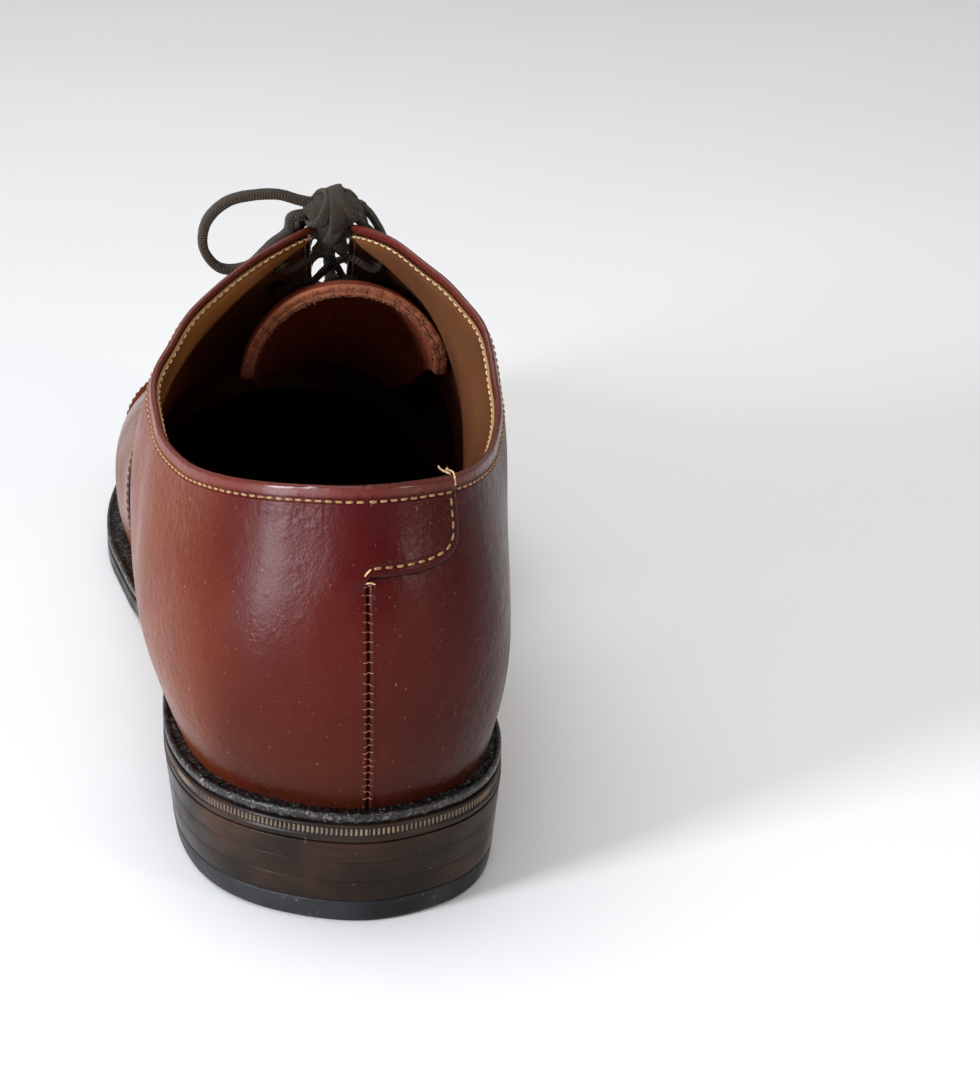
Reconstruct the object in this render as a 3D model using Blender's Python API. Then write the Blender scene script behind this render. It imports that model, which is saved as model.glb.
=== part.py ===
"""Left oxford shoe: leather upper with closed lacing, welted leather sole and stacked heel.

Frame: +Y runs from heel to toe, +X to the inner (medial) side, +Z up. The origin is the middle of
the shoe's footprint box, on the floor. Lengths below are millimetres; MM turns them into metres.

The upper, its linings and its stiffeners are skins of one shape, the last: last_point(u, v) gives a
point of it, where u runs round the bottom edge (0 at the heel's back, negative on the outer side,
plus or minus 0.5 at the toe) and v runs from the bottom edge (0) to the ridge on top (1).
"""

import math

import bmesh
import bpy
import numpy as np

MM = 0.001
GAP = 0.3

# Driving dimensions
LENGTH = 300.0
BACK_Y = -LENGTH / 2
HEEL_LENGTH = 76.0
LIFTS = 3
LIFT_THICKNESS = 4.2
TOP_PIECE_THICKNESS = 5.0
OUTSOLE_THICKNESS = 4.0
WELT_THICKNESS = 2.2
INSOLE_THICKNESS = 3.0
SHANK_THICKNESS = 1.2
TOE_SPRING = 11.0
UPPER_LEATHER = 1.4
LINING_LEATHER = 1.0
STIFFENER = 1.2
LACE_DIAMETER = 2.0
EYELETS_PER_SIDE = 5
EYELET_SPACING = 13.0
EYELET_FROM_EDGE = 11.0

# Levels worked out from them
SEAT_Z = TOP_PIECE_THICKNESS + LIFTS * (LIFT_THICKNESS + GAP) + GAP
LASTED_MARGIN = UPPER_LEATHER + LINING_LEATHER + 2 * GAP
LINING_OUT = LINING_LEATHER
UPPER_IN = LINING_LEATHER + GAP
STIFFENER_ROOM = STIFFENER + GAP

# Where things are along the shoe, from the back of the heel
SEAT_END, WAIST_END, SPRING_START = HEEL_LENGTH + 1.0, 180.0, 222.0
THROAT_S = 186.0
VAMP_SEAM_S = 150.0
CAP_SEAM_S = 246.0
COUNTER_END_S, COUNTER_TOP_V = 68.0, 0.43
PUFF_START_S = 252.0
MARGIN_REACH = 6.0
TAB_WIDTH, TAB_BOTTOM_V, LAP_FADE = 21.5, 0.49, 0.28
CORK_START_S = 168.0
HEEL_TAPER = 2.0
STRIP_INNER = 3.3
NAIL_PLACES = [(0.5, 12), (-22, 26), (23, 26), (-24, 60), (20, 60)]
SHANK_OUTLINE = [(-3, 52), (-10, 60), (-10, 105), (-9, 150), (-2, 158), (5, 150), (4, 105), (4, 60)]
TONGUE_START_S, TONGUE_END_S, TONGUE_LEATHER = 110.0, 196.0, 1.4
TONGUE_HALF_WIDTH = [(105, 24.5), (150, 22), (200, 19)]
TONGUE_SAG = [(105, 26), (130, 21), (160, 13), (200, 7)]
TONGUE_DROP = [(105, 17), (119, 12.5), (150, 9.4), (164, 8.2), (180, 6.2), (200, 4.7)]
TONGUE_X = [(105, 3.5), (150, 1.5), (200, 0)]
SPINE_START, SPINE_END, SPINE_BLEND = 45.0, 266.0, 12.0
KNOT_CENTRE = (2.0, -30.0, 119.3)
AGLET_LENGTH = 18.0

# The sole's edge seen from above, as (x, distance from the heel's back), round by the outer side
SOLE_OUTLINE = [
    (0.5, 0), (-19, 6.5), (-32, 20), (-38.5, 42), (-38.5, 75), (-38, 110), (-41, 145), (-46.5, 180),
    (-50.5, 208), (-49.5, 238), (-42, 266), (-27, 288), (3, 300), (30, 287), (43.5, 263), (49.5, 234),
    (50.5, 208), (45, 178), (34, 145), (28, 110), (28.5, 75), (32, 42), (28.5, 20), (19, 7),
]
# How far the sole's edge stands out past the upper
WELT_MARGIN = [(0, 3.0), (60, 3.2), (110, 4), (160, 4.6), (300, 5.5)]
# The last's side profile has three spans: bottom edge, fullest point, rim and ridge. Each table is
# (distance along the shoe, value). The rim is the upper's top edge from the heel to the throat.
BULGE_OUTER = [(0, 4), (30, 5), (60, 8), (90, 10), (120, 8.5), (160, 5), (208, 2.5), (300, 1.5)]
BULGE_INNER = [(0, 4), (30, 5), (60, 4.5), (90, 8.5), (120, 12), (160, 6), (208, 2.5), (300, 1.5)]
BULGE_RISE = [(0, 0.42), (60, 0.38), (119, 0.34), (160, 0.3), (208, 0.32), (260, 0.35), (300, 0.4)]
RIM_Z_OUTER = [
    (0, 93.5), (20, 90), (40, 87.5), (60, 88.5), (80, 94.5), (97, 103), (108, 109.5), (116, 112.5),
    (122, 111), (140, 99.5), (160, 84.5), (186, 68.4), (208, 57), (235, 47), (266, 38.9), (300, 38.9),
]
RIM_Z_INNER = [
    (0, 93.5), (20, 90.5), (40, 89.5), (60, 94), (80, 103), (97, 110), (108, 113), (116, 113),
    (122, 111), (140, 99.5), (160, 84.5), (186, 68.4), (208, 57), (235, 47), (266, 38.9), (300, 38.9),
]
# How far the rim lies inside the bottom edge round the heel, and from the ridge in front of that
RIM_INSET_OUTER = [(0, 2.5), (20, 2.5), (40, 0.5), (60, -3), (80, -3), (97, 8.5)]
RIM_INSET_INNER = [(0, 2.5), (20, 2), (40, -1.5), (60, -6.5), (80, -7.5), (97, 1)]
RIM_FROM_RIDGE_OUTER = [
    (80, 37), (90, 32.5), (97, 27), (108, 14.5), (116, 4.2), (130, 3.8), (150, 3.4), (186, 3),
    (208, 6), (235, 8), (300, 9),
]
RIM_FROM_RIDGE_INNER = [
    (80, 27), (90, 23), (97, 18), (108, 10.5), (116, 4.2), (130, 3.8), (150, 3.4), (186, 3),
    (208, 6), (235, 8), (300, 9),
]
RIM_LEAN = [(0, 8), (40, 10), (80, 22), (108, 42), (120, 54), (150, 62), (186, 71), (235, 76), (300, 76)]
RIDGE_Z = [
    (45, 148), (80, 130), (119, 113.8), (140, 100.8), (160, 85.4), (186, 69), (208, 58), (235, 48),
    (266, 40),
]
RIDGE_X = [(45, 1), (119, 2.5), (150, 4.5), (186, 6), (225, 5.5), (266, 3.7)]
FULL_V, RIM_V = 0.3, 0.65


def along(table, s):
    """A smooth value along the shoe, through the table's points."""
    x, y = np.array(table, float).T
    slope = np.gradient(y, x)
    s = np.clip(np.asarray(s, float), x[0], x[-1])
    i = np.clip(np.searchsorted(x, s) - 1, 0, len(x) - 2)
    h = x[i + 1] - x[i]
    t = (s - x[i]) / h
    return (
        y[i] * (1 + 2 * t) * (1 - t) ** 2
        + h * slope[i] * t * (1 - t) ** 2
        + y[i + 1] * t * t * (3 - 2 * t)
        + h * slope[i + 1] * t * t * (t - 1)
    )


def smooth_step(t):
    t = np.clip(t, 0, 1)
    return t * t * (3 - 2 * t)


def closed_curve(points, count=720):
    """Evenly spaced samples of a smooth closed curve through the points, from the first one."""
    p = np.array(points, float)
    chord = np.linalg.norm(np.roll(p, -1, 0) - p, axis=1)
    tangent = (np.roll(p, -1, 0) - np.roll(p, 1, 0)) / (chord + np.roll(chord, 1))[:, None]
    t = np.linspace(0, 1, 40, endpoint=False)[:, None]
    spans = []
    for i, h in enumerate(chord):
        j = (i + 1) % len(p)
        spans.append(
            p[i] * (1 + 2 * t) * (1 - t) ** 2
            + h * tangent[i] * t * (1 - t) ** 2
            + p[j] * t * t * (3 - 2 * t)
            + h * tangent[j] * t * t * (t - 1)
        )
    dense = np.concatenate(spans + [p[:1]])
    run = np.concatenate([[0], np.cumsum(np.linalg.norm(np.diff(dense, axis=0), axis=1))])
    at = np.linspace(0, run[-1], count, endpoint=False)
    return np.stack([np.interp(at, run, dense[:, k]) for k in (0, 1)], axis=1)


def outward(curve):
    """Unit normals that point out of a closed curve which runs clockwise seen from above."""
    tangent = np.roll(curve, -1, 0) - np.roll(curve, 1, 0)
    normal = np.stack([-tangent[:, 1], tangent[:, 0]], axis=1)
    return normal / np.linalg.norm(normal, axis=1)[:, None]


SOLE_EDGE = closed_curve(SOLE_OUTLINE)
EDGE_NORMAL = outward(SOLE_EDGE)
UPPER_OUT = UPPER_IN + UPPER_LEATHER
FEATHER = SOLE_EDGE - EDGE_NORMAL * (along(WELT_MARGIN, SOLE_EDGE[:, 1]) + UPPER_OUT)[:, None]


def loop_point(samples, u):
    """The sample curve at u, where u is 0 at the heel's back and falls along the outer side."""
    at = np.mod(-np.asarray(u, float), 1) * len(samples)
    i = np.floor(at).astype(int) % len(samples)
    f = (at - np.floor(at))[..., None]
    return samples[i] * (1 - f) + samples[(i + 1) % len(samples)] * f


def u_at(s, side):
    """The u of the bottom edge at a distance along the shoe; side is -1 outer, +1 inner."""
    half = len(FEATHER) // 2
    steps = np.arange(0, half - 6)
    curve = FEATHER if side < 0 else np.roll(FEATHER[::-1], 1, axis=0)
    return side * np.interp(s, curve[steps, 1], steps / len(FEATHER))


def sole_bottom(s):
    """Underside of the outsole: level under the heel, down to the ball, and up again at the toe."""
    s = np.asarray(s, float)
    down = SEAT_Z * (1 - smooth_step((s - SEAT_END) / (WAIST_END - SEAT_END)))
    spring = np.clip((s - SPRING_START) / (LENGTH - SPRING_START), 0, None)
    return down + TOE_SPRING * spring**2


def sole_top(s):
    return sole_bottom(s) + OUTSOLE_THICKNESS


def last_floor(s):
    """Level of the insole's underside, which is the bottom edge of the last_point surface."""
    return sole_top(s) + LASTED_MARGIN


def spine_distance(s):
    """The ridge stops short of heel and toe, and the profiles near them fan out from its ends."""
    top = SPINE_END - SPINE_BLEND * np.logaddexp(0, (SPINE_END - s) / SPINE_BLEND)
    return SPINE_START + SPINE_BLEND * np.logaddexp(0, (top - SPINE_START) / SPINE_BLEND)


def bezier(a, b, from_a, from_b, t):
    """A cubic that leaves a along from_a and arrives at b from the side from_b points to."""
    t = t[..., None]
    reach = 0.36 * np.linalg.norm(b - a, axis=-1)[..., None]
    return (
        a * (1 - t) ** 3
        + 3 * (a + from_a * reach) * t * (1 - t) ** 2
        + 3 * (b + from_b * reach) * t * t * (1 - t)
        + b * t**3
    )


def side_profile(s, reach, inner, z_ridge):
    """Bottom edge, fullest point, rim and ridge of the last's side, as (inset, height) pairs."""
    floor = last_floor(s)
    rim_z = along(RIM_Z_OUTER, s) * (1 - inner) + along(RIM_Z_INNER, s) * inner
    inset = along(RIM_INSET_OUTER, s) * (1 - inner) + along(RIM_INSET_INNER, s) * inner
    from_ridge = along(RIM_FROM_RIDGE_OUTER, s) * (1 - inner) + along(RIM_FROM_RIDGE_INNER, s) * inner
    fore = smooth_step((s - 78) / 18)
    inset = inset * (1 - fore) + (reach - from_ridge) * fore
    bulge = along(BULGE_OUTER, s) * (1 - inner) + along(BULGE_INNER, s) * inner
    full_z = floor + (rim_z - floor) * along(BULGE_RISE, s)
    bottom = np.stack([np.zeros_like(s), floor], axis=-1)
    full = np.stack([-bulge, full_z], axis=-1)
    rim = np.stack([inset, rim_z], axis=-1)
    ridge = np.stack([reach, z_ridge], axis=-1)
    return bottom, full, rim, ridge


def last_point(u, v):
    u, v = np.broadcast_arrays(np.asarray(u, float), np.asarray(v, float))
    foot = loop_point(FEATHER, u)
    s = foot[..., 1]
    s_ridge = spine_distance(s)
    spine = np.stack([along(RIDGE_X, s_ridge), s_ridge], axis=-1)
    out = foot - spine
    reach = np.linalg.norm(out, axis=-1)
    inner = smooth_step((np.sin(2 * math.pi * u) * 4 + 1) / 2)
    bottom, full, rim, ridge = side_profile(s, reach, inner, along(RIDGE_Z, s_ridge))
    lean = np.radians(along(RIM_LEAN, s))
    up = np.stack([np.zeros_like(s), np.ones_like(s)], axis=-1)
    over = np.stack([np.sin(lean), np.cos(lean)], axis=-1)
    outward_up = np.stack([-0.35 * np.ones_like(s), 0.94 * np.ones_like(s)], axis=-1)
    level = np.stack([-np.ones_like(s), np.zeros_like(s)], axis=-1)
    low = bezier(bottom, full, outward_up, -up, np.clip(v / FULL_V, 0, 1))
    side = bezier(full, rim, up * 1.15, -over * 1.15, np.clip((v - FULL_V) / (RIM_V - FULL_V), 0, 1))
    crown = bezier(rim, ridge, over, level, np.clip((v - RIM_V) / (1 - RIM_V), 0, 1))
    section = np.where((v < FULL_V)[..., None], low, np.where((v < RIM_V)[..., None], side, crown))
    xy = foot - out / reach[..., None] * section[..., :1]
    slope = (along(RIDGE_Z, s_ridge + 1) - along(RIDGE_Z, s_ridge - 1)) / 2
    toe_only = smooth_step((s_ridge - 200) / 50)
    z = section[..., 1] + toe_only * slope * (xy[..., 1] - s_ridge) * v**3
    return np.stack([xy[..., 0], xy[..., 1] + BACK_Y, z], axis=-1)


def last_normal(u, v):
    u, v = np.broadcast_arrays(np.asarray(u, float), np.asarray(v, float))
    v = np.clip(v, 0.002, 0.985)
    du = last_point(u + 0.001, v) - last_point(u - 0.001, v)
    dv = last_point(u, v + 0.002) - last_point(u, v - 0.002)
    n = np.cross(du, dv)
    return n / np.linalg.norm(n, axis=-1)[..., None]


def skin_point(u, v, offset):
    """A point at a distance outside the last, in millimetres."""
    return last_point(u, v) + last_normal(u, v) * np.asarray(offset, float)[..., None]


def plan_point(xy, z):
    """A point above the sole's plan, where xy is (x, distance from the heel's back)."""
    return np.concatenate([xy[..., :1], xy[..., 1:] + BACK_Y, np.asarray(z, float)[..., None]], axis=-1)


def stiffener_room(u, v):
    """How far the lining stands in from the upper to make room for the heel counter and toe puff."""
    s = loop_point(FEATHER, u)[..., 1]
    low = smooth_step((COUNTER_TOP_V + 0.12 - v) / 0.1)
    at_heel = smooth_step((COUNTER_END_S + 24 - s) / 16) * low
    at_toe = smooth_step((s - PUFF_START_S + 24) / 16)
    return STIFFENER_ROOM * np.maximum(at_heel, at_toe)


def turned_in(u, offset, depth, reach):
    """The two lowest rows of a skin: the end of its margin under the insole, and its bottom corner.

    offset is the skin's distance outside the last on the wall, depth its distance under the last.
    """
    n = last_normal(u, np.zeros_like(u))
    level = np.linalg.norm(n[..., :2], axis=-1)
    away = n[..., :2] / level[..., None]
    slide = (-depth - n[..., 2] * offset) / level
    foot = loop_point(FEATHER, u)
    corner = foot + away * (offset * level - slide * n[..., 2])[..., None]
    end = foot - away * reach
    return (
        plan_point(end, last_floor(end[..., 1]) - depth),
        plan_point(corner, last_floor(corner[..., 1]) - depth),
    )


def wall_skin(u, v, offset, depth, reach=MARGIN_REACH):
    """Rows of points of a wall's skin from the end of its turned-in margin up to its top edge."""
    offset = np.broadcast_to(offset, u.shape)
    end, corner = turned_in(u[0], offset[0], depth, reach)
    return np.concatenate([end[None], corner[None], skin_point(u, v, offset)])


def arch_skin(u_outer, u_inner, v_rows, offset_at, depth, reach=MARGIN_REACH, margin=True):
    """A skin over the instep: up the outer side to the ridge and down the inner side.

    u_outer and u_inner are (rows, columns), and so is what offset_at(u, v) gives.
    """
    v = np.broadcast_to(v_rows[:, None], u_outer.shape)
    sides = []
    for u in (u_outer, u_inner):
        offset = offset_at(u, v)
        sides.append(wall_skin(u, v, offset, depth, reach) if margin else skin_point(u, v, offset))
    outer, inner = sides
    ridge = (outer[-1] + inner[-1]) / 2
    return np.concatenate([outer[:-1], ridge[None], inner[-2::-1]])


def make_object(name, points, faces, material):
    """A mesh object from points in millimetres. Points that coincide become one."""
    mesh = bpy.data.meshes.new(name)
    mesh.from_pydata([tuple(p) for p in np.asarray(points, float) * MM], [], faces)
    work = bmesh.new()
    work.from_mesh(mesh)
    bmesh.ops.remove_doubles(work, verts=work.verts, dist=1e-6)
    bmesh.ops.recalc_face_normals(work, faces=work.faces)
    work.to_mesh(mesh)
    work.free()
    mesh.materials.append(material)
    obj = bpy.data.objects.new(name, mesh)
    bpy.context.scene.collection.objects.link(obj)
    return obj


def skin_solid(name, outer, inner, material, closes=False):
    """A solid between two skins of (rows, columns, 3) points.

    With closes, the last column folds onto itself, as both sides' profiles do at the toe.
    """
    rows, cols = outer.shape[:2]
    points = np.concatenate([outer.reshape(-1, 3), inner.reshape(-1, 3)])
    skins = np.arange(2 * rows * cols).reshape(2, rows, cols)
    if closes:
        for skin in skins:
            points[skin[:, -1]] = (points[skin[:, -1]] + points[skin[::-1, -1]]) / 2
    top, low = skins
    faces = []
    for i in range(rows - 1):
        for j in range(cols - 1):
            faces.append((top[i, j], top[i, j + 1], top[i + 1, j + 1]))
            faces.append((top[i, j], top[i + 1, j + 1], top[i + 1, j]))
            faces.append((low[i, j], low[i + 1, j + 1], low[i, j + 1]))
            faces.append((low[i, j], low[i + 1, j], low[i + 1, j + 1]))
        faces.append((top[i, 0], top[i + 1, 0], low[i + 1, 0], low[i, 0]))
        if not closes:
            faces.append((top[i, -1], low[i, -1], low[i + 1, -1], top[i + 1, -1]))
    for j in range(cols - 1):
        faces.append((top[0, j], low[0, j], low[0, j + 1], top[0, j + 1]))
        faces.append((top[-1, j], top[-1, j + 1], low[-1, j + 1], low[-1, j]))
    return make_object(name, points, faces, material)


def half_outline(curve, side):
    """x of one side of a closed plan curve as a function of the distance from the heel's back."""
    half = len(curve) // 2
    points = curve[: half + 1] if side < 0 else np.roll(curve[::-1], 1, axis=0)[: half + 1]
    s = np.maximum.accumulate(points[:, 1])
    return lambda at: np.interp(at, s, points[:, 0])


def plate(name, curve, start, end, low_at, high_at, material, taper=0.0, rows=48):
    """A flat piece inside a plan curve, between two distances and two surfaces of the distance.

    taper draws its underside in from the curve. Its ends are round where the curve ends, and
    straight across where it is cut.
    """
    outline = curve if taper == 0 else curve - outward(curve) * taper
    first, last = max(start, curve[:, 1].min()), min(end, curve[:, 1].max())
    turn = np.linspace(0, 1, rows)
    round_back, round_front = start <= curve[:, 1].min(), end >= curve[:, 1].max()
    if round_back and round_front:
        turn = (1 - np.cos(math.pi * turn)) / 2
    elif round_back:
        turn = 1 - np.cos(math.pi / 2 * turn)
    elif round_front:
        turn = np.sin(math.pi / 2 * turn)
    s = first + (last - first) * turn
    rings = []
    for edge, level in ((outline, low_at), (curve, high_at)):
        at = np.clip(s, edge[:, 1].min(), edge[:, 1].max())
        for side in (-1, 1):
            x = half_outline(edge, side)(at)
            rings.append(plan_point(np.stack([x, at], axis=-1), level(at)))
    a, b, c, d = np.arange(4 * rows).reshape(4, rows)
    faces = [(a[0], b[0], d[0], c[0]), (a[-1], c[-1], d[-1], b[-1])]
    for i in range(rows - 1):
        for p, q in ((a, b), (b, d), (d, c), (c, a)):
            faces.append((p[i], p[i + 1], q[i + 1], q[i]))
    return make_object(name, np.concatenate(rings), faces, material)


def edge_strip(name, u, inner_offset, low_at, high_at, material):
    """A strip that lies along the sole's edge, out to the edge and in to an offset of the last."""
    outer = loop_point(SOLE_EDGE, u)
    n = last_normal(u, np.zeros_like(u))[:, :2]
    inner = loop_point(FEATHER, u) + n / np.linalg.norm(n, axis=1)[:, None] * inner_offset
    corners = [plan_point(xy, level(xy[:, 1])) for xy in (inner, outer) for level in (low_at, high_at)]
    low_in, high_in, low_out, high_out = np.arange(4 * len(u)).reshape(4, len(u))
    ring = (low_in, low_out, high_out, high_in)
    faces = []
    for i in range(len(u) - 1):
        for p, q in zip(ring, ring[1:] + ring[:1]):
            faces.append((p[i], p[i + 1], q[i + 1], q[i]))
    faces.append(tuple(p[0] for p in ring))
    faces.append(tuple(p[-1] for p in ring[::-1]))
    return make_object(name, np.concatenate(corners), faces, material)


def smooth_path(points, spacing):
    """Points a set distance apart along a smooth curve through the given ones."""
    p = np.array(points, float)
    padded = np.concatenate([[2 * p[0] - p[1]], p, [2 * p[-1] - p[-2]]])
    t = np.linspace(0, 1, 24, endpoint=False)[:, None]
    spans = []
    for a, b, c, d in zip(padded, padded[1:], padded[2:], padded[3:]):
        spans.append(
            b
            + (c - a) / 2 * t
            + (a - 2.5 * b + 2 * c - d / 2) * t**2
            + (1.5 * (b - c) + (d - a) / 2) * t**3
        )
    dense = np.concatenate(spans + [p[-1:]])
    run = np.concatenate([[0], np.cumsum(np.linalg.norm(np.diff(dense, axis=0), axis=1))])
    at = np.linspace(0, run[-1], max(3, round(run[-1] / spacing) + 1))
    return np.stack([np.interp(at, run, dense[:, k]) for k in range(3)], axis=1)


def tube(name, points, radius, material, spacing=5.0, sides=2):
    """A round cord with closed ends, along a smooth route, or straight from point to point."""
    curve = bpy.data.curves.new(name, "CURVE")
    curve.dimensions = "3D"
    curve.bevel_depth = radius * MM
    curve.bevel_resolution = sides
    curve.use_fill_caps = True
    path = smooth_path(points, spacing) if spacing else np.array(points)
    spline = curve.splines.new("POLY")
    spline.points.add(len(path) - 1)
    for control, p in zip(spline.points, path):
        control.co = (*(p * MM), 1)
    curve.materials.append(material)
    obj = bpy.data.objects.new(name, curve)
    bpy.context.scene.collection.objects.link(obj)
    return obj


def turned(name, profile, centre, axis, material, sides=16):
    """A solid of revolution: a closed (radius, height) profile about an axis through a point."""
    axis = np.array(axis, float) / np.linalg.norm(axis)
    across = np.cross(axis, [0.0, 1.0, 0.3])
    across /= np.linalg.norm(across)
    third = np.cross(axis, across)
    points = []
    for k in range(sides):
        turn = 2 * math.pi * k / sides
        radial = across * math.cos(turn) + third * math.sin(turn)
        points += [np.array(centre) + radial * r + axis * h for r, h in profile]
    count = len(profile)
    faces = []
    for k in range(sides):
        here, there = k * count, (k + 1) % sides * count
        for i in range(count):
            j = (i + 1) % count
            faces.append((here + i, here + j, there + j, there + i))
    return make_object(name, points, faces, material)


def drill(target, cutter):
    """Cut a hidden helper's shape out of an object."""
    cutter.hide_render = True
    cutter.display_type = "WIRE"
    cut = target.modifiers.new(cutter.name, "BOOLEAN")
    cut.operation = "DIFFERENCE"
    cut.solver = "EXACT"
    cut.object = cutter


def material(name, color, roughness, metallic=0.0):
    made = bpy.data.materials.new(name)
    made.use_nodes = True
    shader = made.node_tree.nodes["Principled BSDF"]
    shader.inputs["Base Color"].default_value = (*color, 1.0)
    shader.inputs["Roughness"].default_value = roughness
    shader.inputs["Metallic"].default_value = metallic
    made.diffuse_color = (*color, 1.0)
    return made


U_PER_MM = 1 / np.linalg.norm(np.diff(FEATHER, axis=0, append=FEATHER[:1]), axis=1).sum()
WALL_V = np.array([0.04, 0.12, 0.21, 0.3, 0.38, 0.45])


def tab_reach(rise):
    """How far the outer quarter laps past the back seam, for a share of the lap's own height."""
    return (1 - (1 - rise) ** 6) ** (1 / 3)


def seam_front_s(v):
    """Where the quarters end and the vamp begins: it runs forward from the sole to the throat."""
    return VAMP_SEAM_S + (THROAT_S - VAMP_SEAM_S) * (v / RIM_V) ** 1.6


def quarter_grid(side, cols, lapped):
    """u and v of a quarter: rows up the wall, columns from the back seam to the vamp's seam."""
    rises = np.array([0, 0.012, 0.05, 0.15, 0.3, 0.5, 0.75, 1] if lapped else [0, 0.15, 0.3, 0.5, 0.75, 1])
    lap_v = TAB_BOTTOM_V - (GAP / 60 if side > 0 else 0)
    v_rows = np.concatenate([WALL_V, lap_v + (RIM_V - lap_v) * rises])
    width = (TAB_WIDTH + (1.2 * GAP if side > 0 else 0)) * U_PER_MM
    lap = np.concatenate([np.zeros(len(WALL_V)), width * tab_reach(rises) if lapped else 0 * rises])
    share = np.linspace(0, 1, cols)
    share *= 0.5 + 0.5 * share
    u, v = np.zeros((len(v_rows), cols)), np.zeros((len(v_rows), cols))
    for i, rim_share in enumerate(v_rows):
        front = u_at(seam_front_s(rim_share), side) - side * GAP / 2 * U_PER_MM
        plain = side * GAP / 2 * U_PER_MM * (1 - share) + front * share
        u[i] = plain + lap[i] * np.clip(1 - share / LAP_FADE, 0, 1) ** 2
        v[i] = rim_share
    return u, v


def eyelet_place(side, number):
    """u and v of an eyelet, counted from the throat up."""
    s = THROAT_S - 9 - number * EYELET_SPACING
    u = float(u_at(s, side))
    v = np.linspace(RIM_V, 0.4, 120)
    line = skin_point(np.full(120, u), v, np.full(120, UPPER_OUT))
    run = np.concatenate([[0], np.cumsum(np.linalg.norm(np.diff(line, axis=0), axis=1))])
    return u, float(np.interp(EYELET_FROM_EDGE, run, v))


def tongue_point(across, s, inside):
    """A point of the tongue: an arch across the instep that sags below the facings.

    across runs from -1 at its outer edge to 1 at its inner edge, inside is millimetres under it.
    """
    half_width, sag = along(TONGUE_HALF_WIDTH, s), along(TONGUE_SAG, s)
    half_angle = 2 * np.arctan(sag / half_width)
    radius = half_width / np.sin(half_angle)
    angle = across * half_angle
    top = along(RIDGE_Z, s) - along(TONGUE_DROP, s)
    x = along(RIDGE_X, s) + along(TONGUE_X, s) + (radius - inside) * np.sin(angle)
    z = top - radius + (radius - inside) * np.cos(angle)
    return np.stack([x, s + BACK_Y, z], axis=-1)


def tongue_grid(rows=13, cols=11):
    """across and distance of the tongue's points, from its free end with round corners forward."""
    across = np.linspace(-1, 1, rows)[:, None] * np.ones(cols)
    start = TONGUE_START_S + 9 * np.abs(across[:, :1]) ** 6
    return across, start + (TONGUE_END_S - start) * np.linspace(0, 1, cols)


# The lace's way through an eyelet, from below to above: (towards the gap, outside the last)
THREADED = [
    (5, -3.1), (1.9, -2.7), (0.75, -2.3), (0.05, -1.3), (0, 2.3), (0.6, 3.4), (1.7, 3.95), (5, 4.2),
    (9.5, 4.2),
]


def threaded(side, number):
    """The lace's points through one eyelet, from under the facing to over it."""
    u, v = eyelet_place(side, number)
    here, ahead = (skin_point(np.array([u]), np.array([w]), np.array([0.0]))[0] for w in (v, v + 0.02))
    n = last_normal(np.array([u]), np.array([v]))[0]
    to_gap = ahead - here - n * np.dot(ahead - here, n)
    to_gap /= np.linalg.norm(to_gap)
    return [here + to_gap * a + n * h for a, h in THREADED]


def gap_point(s, x_off, lift):
    """A point in the gap between the facings, off its middle, at a height over the rim."""
    return np.array([along(RIDGE_X, s) + x_off, s + BACK_Y, along(RIM_Z_OUTER, s) + lift])


def zigzag(side, over, middle):
    """One half of the held lace, up from its lowest eyelet.

    over and middle are its heights over the rim where it leaves a facing and where halves cross.
    """
    route = []
    for number in range(EYELETS_PER_SIDE):
        route += threaded(side, number)
        if number == EYELETS_PER_SIDE - 1:
            break
        s = THROAT_S - 9 - (number + 0.5) * EYELET_SPACING
        route.append(gap_point(s + 3.2, side * 3.2, over))
        route.append(gap_point(s, 0, middle))
        route.append(gap_point(s - 2.2, -side * 1.7, middle / 2 - 1.9))
        route.append(gap_point(s - 3.2, -side * 3.6, -3.6))
        side = -side
    return route, side


def draped(side, s, v, height):
    """A point on a lace that lies over the shoe's outside, at a height outside the last."""
    return skin_point(u_at(np.array([float(s)]), side), np.array([v]), np.array([float(height)]))[0]


def free_lace():
    """Routes of the free parts of the lace, each from the knot outwards."""
    return {
        "lace_loop_lateral": [
            (-4.6, -30.5, 120), (-8.7, -31, 121.4), (-14.5, -31.5, 121.6), (-20.9, -32, 120.2),
            (-25.4, -32, 115.8), (-26.1, -31.2, 109.2), (-22.6, -30.4, 104.6), (-16.6, -29.6, 104.4),
            draped(-1, 120, 0.61, 4.6), draped(-1, 119.8, 0.63, 4.9), (-6.2, -29, 115.4),
        ],
        "lace_loop_medial": [
            (7.6, -29.5, 118.4), (10.6, -24.6, 116.2), (14, -17.4, 111), draped(1, 138, 0.608, 6.6),
            draped(1, 142, 0.58, 5), draped(1, 142.6, 0.54, 4.4), draped(1, 146, 0.5, 4.4),
            draped(1, 153, 0.47, 4.4), draped(1, 161, 0.45, 4.3), draped(1, 167, 0.453, 4.3),
            draped(1, 168.5, 0.48, 4.4), draped(1, 164, 0.502, 4.5), draped(1, 155, 0.515, 4.6),
            draped(1, 148.6, 0.545, 4.7), draped(1, 147, 0.585, 5.2), draped(1, 145.5, 0.625, 7.4),
            (11, -11.6, 111.6), (8.6, -19.2, 117.4), (7.3, -23.8, 119.5),
        ],
        "lace_end_lateral": [
            (-2.2, -23.5, 117.8), gap_point(134, -3.4, 10.6), gap_point(148, -5, 9.6),
            gap_point(160, -7.4, 8.2), draped(-1, 172, 0.612, 6.6), draped(-1, 182, 0.57, 5),
            draped(-1, 193, 0.52, 4.4),
        ],
        "lace_end_medial": [
            (3.2, -23.8, 120.2), gap_point(134, 0.5, 10.5), gap_point(150, 0, 8.6),
            gap_point(166, 0.6, 8), gap_point(182, 2, 7.4), gap_point(196, 4.5, 6.6),
        ],
    }


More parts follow.
